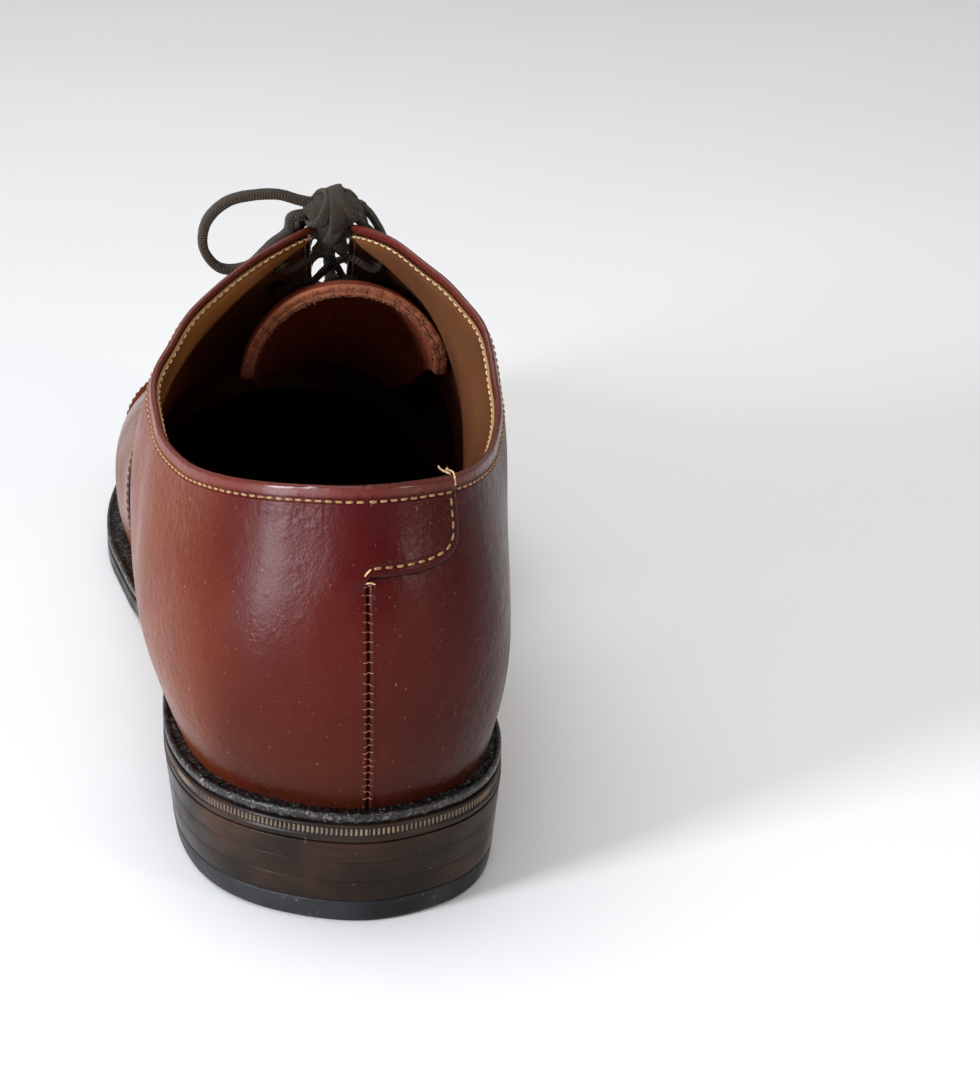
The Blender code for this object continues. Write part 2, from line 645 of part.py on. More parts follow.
def main():
    for default in list(bpy.data.objects):
        bpy.data.objects.remove(default)
    leather = material("burnished_leather", (0.25, 0.075, 0.045), 0.32)
    lining = material("lining_leather", (0.48, 0.27, 0.11), 0.6)
    tongue_leather = material("tongue_leather", (0.27, 0.1, 0.055), 0.6)
    heel_leather = material("dark_sole_leather", (0.035, 0.022, 0.014), 0.4)
    sole_leather = material("outsole_leather", (0.42, 0.24, 0.11), 0.55)
    insole_leather = material("insole_leather", (0.4, 0.26, 0.14), 0.7)
    rubber = material("top_piece_rubber", (0.05, 0.057, 0.065), 0.6)
    steel = material("steel", (0.6, 0.6, 0.6), 0.35, 1.0)
    brass = material("blackened_brass", (0.12, 0.1, 0.08), 0.4, 1.0)
    cork = material("cork", (0.35, 0.22, 0.12), 0.9)
    stiffener = material("stiffener_fibre", (0.5, 0.42, 0.3), 0.8)
    lace = material("waxed_lace", (0.05, 0.04, 0.032), 0.7)
    plastic = material("aglet_plastic", (0.03, 0.025, 0.02), 0.25)

    def level(z):
        return lambda s: np.full_like(np.asarray(s, float), z)

    def above(surface, height):
        return lambda s: surface(s) + height

    # Stacked heel: top piece, three lifts, and the nails that hold the top piece
    layers = [("top_piece", 0, TOP_PIECE_THICKNESS, rubber)]
    for k in range(LIFTS):
        low = TOP_PIECE_THICKNESS + GAP + k * (LIFT_THICKNESS + GAP)
        layers.append((f"heel_lift_{k + 1}", low, low + LIFT_THICKNESS, heel_leather))
    stack = []
    for name, low, high, mat in layers:
        inset = HEEL_TAPER * (SEAT_Z - high) / SEAT_Z
        curve = SOLE_EDGE - EDGE_NORMAL * inset
        taper = HEEL_TAPER * (high - low) / SEAT_Z
        stack.append(
            plate(name, curve, 0, HEEL_LENGTH, level(low), level(high), mat, taper, rows=26)
        )
    for k, (x, s) in enumerate(NAIL_PLACES):
        centre = (x, s + BACK_Y, 0)
        bore = [(0, -1), (1.15, -1), (1.15, 12.3), (0, 12.3)]
        cutter = turned(f"nail_bore_{k + 1}", bore, centre, (0, 0, 1), steel, 12)
        for piece in stack[:3]:
            drill(piece, cutter)
        nail = [(0, GAP), (0.85, GAP), (0.85, 12), (0, 12)]
        turned(f"heel_nail_{k + 1}", nail, centre, (0, 0, 1), steel, 12)

    # Sole: outsole, welt and heel rand, and what lies between outsole and insole
    plate("outsole", SOLE_EDGE, 0, LENGTH, sole_bottom, sole_top, sole_leather, rows=56)
    strip_low, strip_high = above(sole_top, GAP), above(sole_top, GAP + WELT_THICKNESS)
    welt_back, rand_end = HEEL_LENGTH + 0.2, HEEL_LENGTH - 0.2
    around_toe = np.linspace(u_at(welt_back, -1), u_at(welt_back, 1) - 1, 72)
    edge_strip("welt", around_toe, STRIP_INNER, strip_low, strip_high, heel_leather)
    around_heel = np.linspace(u_at(rand_end, -1), u_at(rand_end, 1), 34)
    edge_strip("heel_rand", around_heel, STRIP_INNER, strip_low, strip_high, heel_leather)
    cork_curve = FEATHER - outward(FEATHER) * (MARGIN_REACH + 1.5)
    plate(
        "cork_filler", cork_curve, CORK_START_S, LENGTH, strip_low, above(sole_top, 2.9), cork, rows=26
    )
    shank_curve = closed_curve(SHANK_OUTLINE, 120)
    plate(
        "shank", shank_curve, 0, LENGTH, strip_low, above(sole_top, GAP + SHANK_THICKNESS), steel, rows=22
    )
    feather_u = -np.arange(len(FEATHER)) / len(FEATHER)
    room = stiffener_room(feather_u, np.zeros(len(FEATHER)))[:, None]
    insole_curve = FEATHER - outward(FEATHER) * (0.5 + 1.12 * room)
    insole_low, insole_high = above(last_floor, GAP), above(last_floor, GAP + INSOLE_THICKNESS)
    plate("insole", insole_curve, 0, LENGTH, insole_low, insole_high, insole_leather, rows=44)
    sock_curve = insole_curve - outward(insole_curve) * 0.2
    sock_low, sock_high = above(insole_high, GAP), above(insole_high, GAP + 1.0)
    plate("sock_liner", sock_curve, 0, LENGTH, sock_low, sock_high, lining, rows=44)

    # Quarters, lapped at the back, with their linings
    pieces = {}
    for side, label in ((-1, "lateral"), (1, "medial")):
        u, v = quarter_grid(side, 25, lapped=True)
        pieces[f"quarter_{label}"] = skin_solid(
            f"quarter_{label}",
            wall_skin(u, v, UPPER_OUT, UPPER_OUT),
            wall_skin(u, v, UPPER_IN, UPPER_IN),
            leather,
        )
        u, v = quarter_grid(side, 25, lapped=False)
        room = stiffener_room(u, v)
        pieces[f"quarter_lining_{label}"] = skin_solid(
            f"quarter_lining_{label}",
            wall_skin(u, v, LINING_OUT - room, LINING_OUT),
            wall_skin(u, v, -room, 0.0),
            lining,
        )

    # Vamp and toe cap, and the one lining under both
    arch_v = np.array([0.04, 0.12, 0.21, 0.3, 0.41, 0.53, 0.65, 0.77, 0.89, 1.0])
    back_s = seam_front_s(np.minimum(arch_v, RIM_V))[:, None]

    def columns(front_s, count, start=back_s):
        share = np.linspace(0, 1, count)
        s = start + (front_s - start) * share
        return [u_at(s, side) + side * GAP / 2 * U_PER_MM for side in (-1, 1)]

    def toe_columns(start_s, count):
        share = np.linspace(0, 1, count)
        sides = []
        for side in (-1, 1):
            start = u_at(np.full((len(arch_v), 1), start_s), side) + side * GAP / 2 * U_PER_MM
            sides.append(start + (side * 0.5 - start) * share)
        return sides

    def skin_offset(distance, with_room=False):
        return lambda u, v: distance - stiffener_room(u, v) * with_room

    def over_instep(name, sides, out, low, mat, closes=False, roomy=False, margin=True, v_rows=arch_v):
        outer = arch_skin(*sides, v_rows, skin_offset(out, roomy), out, margin=margin)
        inner = arch_skin(*sides, v_rows, skin_offset(low, roomy), low, margin=margin)
        return skin_solid(name, outer, inner, mat, closes)

    over_instep("vamp", columns(CAP_SEAM_S - GAP, 9), UPPER_OUT, UPPER_IN, leather)
    over_instep("toe_cap", toe_columns(CAP_SEAM_S, 12), UPPER_OUT, UPPER_IN, leather, closes=True)
    lining_sides = [
        np.concatenate([near, far[:, 1:]], axis=1)
        for near, far in zip(columns(CAP_SEAM_S, 9), toe_columns(CAP_SEAM_S, 12))
    ]
    over_instep("vamp_lining", lining_sides, LINING_OUT, 0.0, lining, closes=True, roomy=True)

    # Stiffeners between upper and lining
    counter_v = np.concatenate([[0.03], WALL_V[1:-1], [COUNTER_TOP_V]])
    counter_u = np.linspace(u_at(COUNTER_END_S, -1), u_at(COUNTER_END_S, 1), 25)
    u, v = np.meshgrid(counter_u, counter_v)
    stiff_out, stiff_in = UPPER_IN - GAP, UPPER_IN - GAP - STIFFENER
    skin_solid(
        "heel_counter",
        skin_point(u, v, np.full(u.shape, stiff_out)),
        skin_point(u, v, np.full(u.shape, stiff_in)),
        stiffener,
    )
    puff_v = np.concatenate([[0.03], arch_v[1:]])
    puff_sides = toe_columns(PUFF_START_S, 9)
    over_instep(
        "toe_puff", puff_sides, stiff_out, stiff_in, stiffener, closes=True, margin=False, v_rows=puff_v
    )

    # Tongue and its lining
    across, s = tongue_grid()
    tongue_layers = (
        ("tongue", 0.0, TONGUE_LEATHER, tongue_leather),
        ("tongue_lining", 1.7, 2.6, lining),
    )
    for name, out, low, mat in tongue_layers:
        skin_solid(name, tongue_point(across, s, out), tongue_point(across, s, low), mat)

    # Eyelets: a barrel through facing and lining, with its flange inside
    for side, label in ((-1, "lateral"), (1, "medial")):
        for number in range(EYELETS_PER_SIDE):
            u, v = eyelet_place(side, number)
            here = np.array([u]), np.array([v])
            centre = skin_point(*here, np.array([0.0]))[0]
            axis = last_normal(*here)[0]
            name = f"eyelet_{label}_{number + 1}"
            cutter = turned(
                f"{name}_bore", [(0, -3), (2.0, -3), (2.0, 6), (0, 6)], centre, axis, brass, 12
            )
            drill(pieces[f"quarter_{label}"], cutter)
            drill(pieces[f"quarter_lining_{label}"], cutter)
            ring = [(1.35, -1.3), (2.7, -1.3), (2.7, -0.95), (1.7, -0.95), (1.7, 2.4), (1.35, 2.4)]
            turned(name, ring, centre, axis, brass, 10)

    # Lace: held zigzags with the bar across the throat, the knot, two loops and two ends
    (left, left_end), (right, right_end) = zigzag(-1, 5.6, 3.8), zigzag(1, 4.2, 1.1)
    bar = [gap_point(THROAT_S - 8, x_off, -2.4) for x_off in (-5, 0, 5)]
    tail_left, tail_right = (np.array([2.0 + end * 6.2, -31.0, 117.0]) for end in (left_end, right_end))
    route = [tail_left] + left[::-1] + bar + right + [tail_right]
    tube("lace_lacing", route, LACE_DIAMETER / 2, lace, spacing=None)
    knot = [(0, -3.6), (2.8, -3.3), (4.6, -1.8), (5.2, 0), (4.6, 1.8), (2.8, 3.3), (0, 3.6)]
    turned("lace_knot", knot, KNOT_CENTRE, (0.1, 0.3, 1), lace, 16)
    for name, points in free_lace().items():
        tube(name, points, LACE_DIAMETER / 2, lace)
        if "end" in name:
            tip, back = np.array(points[-1]), np.array(points[-2])
            ahead = (tip - back) / np.linalg.norm(tip - back)
            aglet = [(0, GAP), (1.25, GAP), (1.25, AGLET_LENGTH), (0, AGLET_LENGTH)]
            turned(name.replace("lace_end", "aglet"), aglet, tip, ahead, plastic, 12)


if __name__ == "__main__":
    main()
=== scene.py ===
"""Looks of the left oxford shoe: leather skins, stitches, edges, laces, lights and camera.

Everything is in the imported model's frame: +Y heel to toe, +X to the inner side, +Z up. Lengths are
millimetres until make() turns them into metres. The upper's shape is the same function of (u, v) as
in the CAD: u runs round the bottom edge from the heel's back (negative on the outer side) and v
runs from the bottom edge (0) past the top edge (0.65) to the ridge (1).
"""

import math

import bmesh
import bpy
import numpy as np
from mathutils import Matrix, Vector


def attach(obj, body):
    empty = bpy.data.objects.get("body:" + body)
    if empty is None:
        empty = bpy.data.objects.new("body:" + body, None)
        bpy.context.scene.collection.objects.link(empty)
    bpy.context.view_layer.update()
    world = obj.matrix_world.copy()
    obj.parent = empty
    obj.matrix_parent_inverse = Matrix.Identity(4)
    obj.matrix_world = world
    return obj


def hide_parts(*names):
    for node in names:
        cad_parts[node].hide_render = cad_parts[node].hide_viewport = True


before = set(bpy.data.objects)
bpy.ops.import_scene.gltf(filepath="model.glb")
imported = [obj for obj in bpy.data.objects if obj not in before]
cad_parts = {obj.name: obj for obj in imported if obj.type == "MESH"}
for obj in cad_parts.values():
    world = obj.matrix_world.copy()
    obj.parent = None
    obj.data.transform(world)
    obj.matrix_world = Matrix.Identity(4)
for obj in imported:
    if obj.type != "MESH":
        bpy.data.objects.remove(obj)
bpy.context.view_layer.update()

MM = 0.001
GAP = 0.3

# Sizes shared with the CAD
LENGTH = 300.0
BACK_Y = -LENGTH / 2
HEEL_LENGTH = 76.0
LIFTS = 3
LIFT_THICKNESS = 4.2
TOP_PIECE_THICKNESS = 5.0
OUTSOLE_THICKNESS = 4.0
TOE_SPRING = 11.0
UPPER_LEATHER = 1.4
LINING_LEATHER = 1.0
STIFFENER = 1.2
EYELETS_PER_SIDE = 5
EYELET_SPACING = 13.0
EYELET_FROM_EDGE = 11.0
SEAT_Z = TOP_PIECE_THICKNESS + LIFTS * (LIFT_THICKNESS + GAP) + GAP
LASTED_MARGIN = UPPER_LEATHER + LINING_LEATHER + 2 * GAP
UPPER_IN = LINING_LEATHER + GAP
STIFFENER_ROOM = STIFFENER + GAP
SEAT_END, WAIST_END, SPRING_START = HEEL_LENGTH + 1.0, 180.0, 222.0
THROAT_S = 186.0
VAMP_SEAM_S = 150.0
CAP_SEAM_S = 246.0
COUNTER_END_S, COUNTER_TOP_V = 68.0, 0.43
PUFF_START_S = 252.0
TAB_WIDTH, TAB_BOTTOM_V = 21.5, 0.49
HEEL_TAPER = 2.0
TONGUE_START_S, TONGUE_END_S = 110.0, 196.0
TONGUE_HALF_WIDTH = [(105, 24.5), (150, 22), (200, 19)]
TONGUE_SAG = [(105, 26), (130, 21), (160, 13), (200, 7)]
TONGUE_DROP = [(105, 17), (119, 12.5), (150, 9.4), (164, 8.2), (180, 6.2), (200, 4.7)]
TONGUE_X = [(105, 3.5), (150, 1.5), (200, 0)]
SPINE_START, SPINE_END, SPINE_BLEND = 45.0, 266.0, 12.0
KNOT_CENTRE = (2.0, -30.0, 119.3)
NAIL_PLACES = [(0.5, 12), (-22, 26), (23, 26), (-24, 60), (20, 60)]

# The sole's edge seen from above, as (x, distance from the heel's back), round by the outer side
SOLE_OUTLINE = [
    (0.5, 0), (-19, 6.5), (-32, 20), (-38.5, 42), (-38.5, 75), (-38, 110), (-41, 145), (-46.5, 180),
    (-50.5, 208), (-49.5, 238), (-42, 266), (-27, 288), (3, 300), (30, 287), (43.5, 263), (49.5, 234),
    (50.5, 208), (45, 178), (34, 145), (28, 110), (28.5, 75), (32, 42), (28.5, 20), (19, 7),
]
# How far the sole's edge stands out past the upper
WELT_MARGIN = [(0, 3.0), (60, 3.2), (110, 4), (160, 4.6), (300, 5.5)]
# The last's side profile has three spans: bottom edge, fullest point, rim and ridge. Each table is
# (distance along the shoe, value). The rim is the upper's top edge from the heel to the throat.
BULGE_OUTER = [(0, 4), (30, 5), (60, 8), (90, 10), (120, 8.5), (160, 5), (208, 2.5), (300, 1.5)]
BULGE_INNER = [(0, 4), (30, 5), (60, 4.5), (90, 8.5), (120, 12), (160, 6), (208, 2.5), (300, 1.5)]
BULGE_RISE = [(0, 0.42), (60, 0.38), (119, 0.34), (160, 0.3), (208, 0.32), (260, 0.35), (300, 0.4)]
RIM_Z_OUTER = [
    (0, 93.5), (20, 90), (40, 87.5), (60, 88.5), (80, 94.5), (97, 103), (108, 109.5), (116, 112.5),
    (122, 111), (140, 99.5), (160, 84.5), (186, 68.4), (208, 57), (235, 47), (266, 38.9), (300, 38.9),
]
RIM_Z_INNER = [
    (0, 93.5), (20, 90.5), (40, 89.5), (60, 94), (80, 103), (97, 110), (108, 113), (116, 113),
    (122, 111), (140, 99.5), (160, 84.5), (186, 68.4), (208, 57), (235, 47), (266, 38.9), (300, 38.9),
]
# How far the rim lies inside the bottom edge round the heel, and from the ridge in front of that
RIM_INSET_OUTER = [(0, 2.5), (20, 2.5), (40, 0.5), (60, -3), (80, -3), (97, 8.5)]
RIM_INSET_INNER = [(0, 2.5), (20, 2), (40, -1.5), (60, -6.5), (80, -7.5), (97, 1)]
RIM_FROM_RIDGE_OUTER = [
    (80, 37), (90, 32.5), (97, 27), (108, 14.5), (116, 4.2), (130, 3.8), (150, 3.4), (186, 3),
    (208, 6), (235, 8), (300, 9),
]
RIM_FROM_RIDGE_INNER = [
    (80, 27), (90, 23), (97, 18), (108, 10.5), (116, 4.2), (130, 3.8), (150, 3.4), (186, 3),
    (208, 6), (235, 8), (300, 9),
]
RIM_LEAN = [(0, 8), (40, 10), (80, 22), (108, 42), (120, 54), (150, 62), (186, 71), (235, 76), (300, 76)]
RIDGE_Z = [
    (45, 148), (80, 130), (119, 113.8), (140, 100.8), (160, 85.4), (186, 69), (208, 58), (235, 48),
    (266, 40),
]
RIDGE_X = [(45, 1), (119, 2.5), (150, 4.5), (186, 6), (225, 5.5), (266, 3.7)]
FULL_V, RIM_V = 0.3, 0.65


def unit(vectors):
    """Vectors scaled to length one, along their last axis."""
    vectors = np.asarray(vectors, float)
    return vectors / np.linalg.norm(vectors, axis=-1, keepdims=True)


def run_along(points):
    """How far along a line of points each of them lies."""
    steps = np.linalg.norm(np.diff(points[:, :3], axis=0), axis=1)
    return np.concatenate([[0], np.cumsum(steps)])


def rows_at(rows, run, at):
    """Rows of numbers read off at distances along their run."""
    return np.stack([np.interp(at, run, column) for column in rows.T], axis=1)


def hermite(a, b, rise_a, rise_b, t):
    """A cubic from a to b at share t of its span; the rises are its end slopes times the span."""
    return (
        a * (1 + 2 * t) * (1 - t) ** 2
        + rise_a * t * (1 - t) ** 2
        + b * t * t * (3 - 2 * t)
        + rise_b * t * t * (t - 1)
    )


def along(table, s):
    """A smooth value along the shoe, through the table's points."""
    x, y = np.array(table, float).T
    slope = np.gradient(y, x)
    s = np.clip(np.asarray(s, float), x[0], x[-1])
    i = np.clip(np.searchsorted(x, s) - 1, 0, len(x) - 2)
    h = x[i + 1] - x[i]
    return hermite(y[i], y[i + 1], h * slope[i], h * slope[i + 1], (s - x[i]) / h)


def smooth_step(t):
    t = np.clip(t, 0, 1)
    return t * t * (3 - 2 * t)


def closed_curve(points, count=720):
    """Evenly spaced samples of a smooth closed curve through the points, from the first one."""
    p = np.array(points, float)
    chord = np.linalg.norm(np.roll(p, -1, 0) - p, axis=1)
    tangent = (np.roll(p, -1, 0) - np.roll(p, 1, 0)) / (chord + np.roll(chord, 1))[:, None]
    t = np.linspace(0, 1, 40, endpoint=False)[:, None]
    spans = []
    for i, h in enumerate(chord):
        j = (i + 1) % len(p)
        spans.append(hermite(p[i], p[j], h * tangent[i], h * tangent[j], t))
    dense = np.concatenate(spans + [p[:1]])
    run = run_along(dense)
    return rows_at(dense, run, np.linspace(0, run[-1], count, endpoint=False))


def outward(curve):
    """Unit normals that point out of a closed curve which runs clockwise seen from above."""
    tangent = np.roll(curve, -1, 0) - np.roll(curve, 1, 0)
    return unit(np.stack([-tangent[:, 1], tangent[:, 0]], axis=1))


SOLE_EDGE = closed_curve(SOLE_OUTLINE)
EDGE_NORMAL = outward(SOLE_EDGE)
UPPER_OUT = UPPER_IN + UPPER_LEATHER
FEATHER = SOLE_EDGE - EDGE_NORMAL * (along(WELT_MARGIN, SOLE_EDGE[:, 1]) + UPPER_OUT)[:, None]


def loop_point(samples, u):
    """The sample curve at u, where u is 0 at the heel's back and falls along the outer side."""
    at = np.mod(-np.asarray(u, float), 1) * len(samples)
    i = np.floor(at).astype(int) % len(samples)
    f = (at - np.floor(at))[..., None]
    return samples[i] * (1 - f) + samples[(i + 1) % len(samples)] * f


def u_at(s, side):
    """The u of the bottom edge at a distance along the shoe; side is -1 outer, +1 inner."""
    half = len(FEATHER) // 2
    steps = np.arange(0, half - 6)
    curve = FEATHER if side < 0 else np.roll(FEATHER[::-1], 1, axis=0)
    return side * np.interp(s, curve[steps, 1], steps / len(FEATHER))


def sole_bottom(s):
    """Underside of the outsole: level under the heel, down to the ball, and up again at the toe."""
    s = np.asarray(s, float)
    down = SEAT_Z * (1 - smooth_step((s - SEAT_END) / (WAIST_END - SEAT_END)))
    spring = np.clip((s - SPRING_START) / (LENGTH - SPRING_START), 0, None)
    return down + TOE_SPRING * spring**2


def sole_top(s):
    return sole_bottom(s) + OUTSOLE_THICKNESS


def last_floor(s):
    """Level of the insole's underside, which is the bottom edge of the last_point surface."""
    return sole_top(s) + LASTED_MARGIN


def spine_distance(s):
    """The ridge stops short of heel and toe, and the profiles near them fan out from its ends."""
    top = SPINE_END - SPINE_BLEND * np.logaddexp(0, (SPINE_END - s) / SPINE_BLEND)
    return SPINE_START + SPINE_BLEND * np.logaddexp(0, (top - SPINE_START) / SPINE_BLEND)


def bezier(a, b, from_a, from_b, t):
    """A cubic that leaves a along from_a and arrives at b from the side from_b points to."""
    t = t[..., None]
    reach = 0.36 * np.linalg.norm(b - a, axis=-1)[..., None]
    return (
        a * (1 - t) ** 3
        + 3 * (a + from_a * reach) * t * (1 - t) ** 2
        + 3 * (b + from_b * reach) * t * t * (1 - t)
        + b * t**3
    )


def side_profile(s, reach, inner, z_ridge):
    """Bottom edge, fullest point, rim and ridge of the last's side, as (inset, height) pairs."""
    floor = last_floor(s)
    rim_z = along(RIM_Z_OUTER, s) * (1 - inner) + along(RIM_Z_INNER, s) * inner
    inset = along(RIM_INSET_OUTER, s) * (1 - inner) + along(RIM_INSET_INNER, s) * inner
    from_ridge = along(RIM_FROM_RIDGE_OUTER, s) * (1 - inner) + along(RIM_FROM_RIDGE_INNER, s) * inner
    fore = smooth_step((s - 78) / 18)
    inset = inset * (1 - fore) + (reach - from_ridge) * fore
    bulge = along(BULGE_OUTER, s) * (1 - inner) + along(BULGE_INNER, s) * inner
    full_z = floor + (rim_z - floor) * along(BULGE_RISE, s)
    bottom = np.stack([np.zeros_like(s), floor], axis=-1)
    full = np.stack([-bulge, full_z], axis=-1)
    rim = np.stack([inset, rim_z], axis=-1)
    ridge = np.stack([reach, z_ridge], axis=-1)
    return bottom, full, rim, ridge


def last_point(u, v):
    """The last's surface: u runs round the bottom edge, v from it up over the instep."""
    u, v = np.broadcast_arrays(np.asarray(u, float), np.asarray(v, float))
    foot = loop_point(FEATHER, u)
    s = foot[..., 1]
    s_ridge = spine_distance(s)
    spine = np.stack([along(RIDGE_X, s_ridge), s_ridge], axis=-1)
    out = foot - spine
    reach = np.linalg.norm(out, axis=-1)
    inner = smooth_step((np.sin(2 * math.pi * u) * 4 + 1) / 2)
    bottom, full, rim, ridge = side_profile(s, reach, inner, along(RIDGE_Z, s_ridge))
    lean = np.radians(along(RIM_LEAN, s))
    up = np.stack([np.zeros_like(s), np.ones_like(s)], axis=-1)
    over = np.stack([np.sin(lean), np.cos(lean)], axis=-1)
    outward_up = np.stack([-0.35 * np.ones_like(s), 0.94 * np.ones_like(s)], axis=-1)
    level = np.stack([-np.ones_like(s), np.zeros_like(s)], axis=-1)
    low = bezier(bottom, full, outward_up, -up, np.clip(v / FULL_V, 0, 1))
    side = bezier(full, rim, up * 1.15, -over * 1.15, np.clip((v - FULL_V) / (RIM_V - FULL_V), 0, 1))
    crown = bezier(rim, ridge, over, level, np.clip((v - RIM_V) / (1 - RIM_V), 0, 1))
    section = np.where((v < FULL_V)[..., None], low, np.where((v < RIM_V)[..., None], side, crown))
    xy = foot - out / reach[..., None] * section[..., :1]
    slope = (along(RIDGE_Z, s_ridge + 1) - along(RIDGE_Z, s_ridge - 1)) / 2
    toe_only = smooth_step((s_ridge - 200) / 50)
    z = section[..., 1] + toe_only * slope * (xy[..., 1] - s_ridge) * v**3
    return np.stack([xy[..., 0], xy[..., 1] + BACK_Y, z], axis=-1)


def last_normal(u, v):
    """The surface's outward direction."""
    u, v = np.broadcast_arrays(np.asarray(u, float), np.asarray(v, float))
    v = np.clip(v, 0.002, 0.985)
    du = last_point(u + 0.001, v) - last_point(u - 0.001, v)
    dv = last_point(u, v + 0.002) - last_point(u, v - 0.002)
    return unit(np.cross(du, dv))


def skin_point(u, v, offset):
    """A point at a distance outside the last, in millimetres."""
    return last_point(u, v) + last_normal(u, v) * np.asarray(offset, float)[..., None]


def stiffener_room(u, v):
    """How far the lining stands in from the upper to make room for the heel counter and toe puff."""
    s = loop_point(FEATHER, u)[..., 1]
    low = smooth_step((COUNTER_TOP_V + 0.12 - v) / 0.1)
    at_heel = smooth_step((COUNTER_END_S + 24 - s) / 16) * low
    at_toe = smooth_step((s - PUFF_START_S + 24) / 16)
    return STIFFENER_ROOM * np.maximum(at_heel, at_toe)


U_PER_MM = 1 / np.linalg.norm(np.diff(FEATHER, axis=0, append=FEATHER[:1]), axis=1).sum()


def tab_reach(rise):
    """How far the outer quarter laps past the back seam, for a share of the lap's own height."""
    return (1 - (1 - rise) ** 6) ** (1 / 3)


def seam_front_s(v):
    """Where the quarters end and the vamp begins: it runs forward from the sole to the throat."""
    return VAMP_SEAM_S + (THROAT_S - VAMP_SEAM_S) * (v / RIM_V) ** 1.6


def eyelet_place(side, number):
    """u and v of an eyelet, counted from the throat up."""
    s = THROAT_S - 9 - number * EYELET_SPACING
    u = float(u_at(s, side))
    v = np.linspace(RIM_V, 0.4, 120)
    line = skin_point(np.full(120, u), v, np.full(120, UPPER_OUT))
    return u, float(np.interp(EYELET_FROM_EDGE, run_along(line), v))


def tongue_point(across, s, inside):
    """A point of the tongue: an arch across the instep that sags below the facings.

    across runs from -1 at its outer edge to 1 at its inner edge, inside is millimetres under it.
    """
    half_width, sag = along(TONGUE_HALF_WIDTH, s), along(TONGUE_SAG, s)
    half_angle = 2 * np.arctan(sag / half_width)
    radius = half_width / np.sin(half_angle)
    angle = across * half_angle
    top = along(RIDGE_Z, s) - along(TONGUE_DROP, s)
    x = along(RIDGE_X, s) + along(TONGUE_X, s) + (radius - inside) * np.sin(angle)
    z = top - radius + (radius - inside) * np.cos(angle)
    return np.stack([x, s + BACK_Y, z], axis=-1)


# The lace's way through an eyelet, from below to above: (towards the gap, outside the last)
THREADED = [
    (5, -3.1), (1.9, -2.7), (0.75, -2.3), (0.05, -1.3), (0, 2.3), (0.6, 3.4), (1.7, 3.95), (5, 4.2),
    (9.5, 4.2),
]


def threaded(side, number):
    """The lace's points through one eyelet, from under the facing to over it."""
    u, v = eyelet_place(side, number)
    here, ahead = last_point(u, v), last_point(u, v + 0.02)
    n = last_normal(u, v)
    to_gap = unit(ahead - here - n * np.dot(ahead - here, n))
    return [here + to_gap * a + n * h for a, h in THREADED]


def gap_point(s, x_off, lift):
    """A point in the gap between the facings, off its middle, at a height over the rim."""
    return np.array([along(RIDGE_X, s) + x_off, s + BACK_Y, along(RIM_Z_OUTER, s) + lift])


def zigzag(side, over, middle):
    """One half of the held lace, up from its lowest eyelet.

    over and middle are its heights over the rim where it leaves a facing and where halves cross.
    """
    route = []
    for number in range(EYELETS_PER_SIDE):
        route += threaded(side, number)
        if number == EYELETS_PER_SIDE - 1:
            break
        s = THROAT_S - 9 - (number + 0.5) * EYELET_SPACING
        route.append(gap_point(s + 3.2, side * 3.2, over))
        route.append(gap_point(s, 0, middle))
        route.append(gap_point(s - 2.2, -side * 1.7, middle / 2 - 1.9))
        route.append(gap_point(s - 3.2, -side * 3.6, -3.6))
        side = -side
    return route, side


def draped(side, s, v, height):
    """A point on a lace that lies over the shoe's outside, at a height outside the last."""
    return skin_point(u_at(s, side), v, height)


def free_lace():
    """Routes of the free parts of the lace, each from the knot outwards."""
    return {
        "lace_loop_lateral": [
            (-4.6, -30.5, 120), (-8.7, -31, 121.4), (-14.5, -31.5, 121.6), (-20.9, -32, 120.2),
            (-25.4, -32, 115.8), (-26.1, -31.2, 109.2), (-22.6, -30.4, 104.6), (-16.6, -29.6, 104.4),
            draped(-1, 120, 0.61, 4.6), draped(-1, 119.8, 0.63, 4.9), (-6.2, -29, 115.4),
        ],
        "lace_loop_medial": [
            (7.6, -29.5, 118.4), (10.6, -24.6, 116.2), (14, -17.4, 111), draped(1, 138, 0.608, 6.6),
            draped(1, 142, 0.58, 5), draped(1, 142.6, 0.54, 4.4), draped(1, 146, 0.5, 4.4),
            draped(1, 153, 0.47, 4.4), draped(1, 161, 0.45, 4.3), draped(1, 167, 0.453, 4.3),
            draped(1, 168.5, 0.48, 4.4), draped(1, 164, 0.502, 4.5), draped(1, 155, 0.515, 4.6),
            draped(1, 148.6, 0.545, 4.7), draped(1, 147, 0.585, 5.2), draped(1, 145.5, 0.625, 7.4),
            (11, -11.6, 111.6), (8.6, -19.2, 117.4), (7.3, -23.8, 119.5),
        ],
        "lace_end_lateral": [
            (-2.2, -23.5, 117.8), gap_point(134, -3.4, 10.6), gap_point(148, -5, 9.6),
            gap_point(160, -7.4, 8.2), draped(-1, 172, 0.612, 6.6), draped(-1, 182, 0.57, 5),
            draped(-1, 193, 0.52, 4.4),
        ],
        "lace_end_medial": [
            (3.2, -23.8, 120.2), gap_point(134, 0.5, 10.5), gap_point(150, 0, 8.6),
            gap_point(166, 0.6, 8), gap_point(182, 2, 7.4), gap_point(196, 4.5, 6.6),
        ],
    }


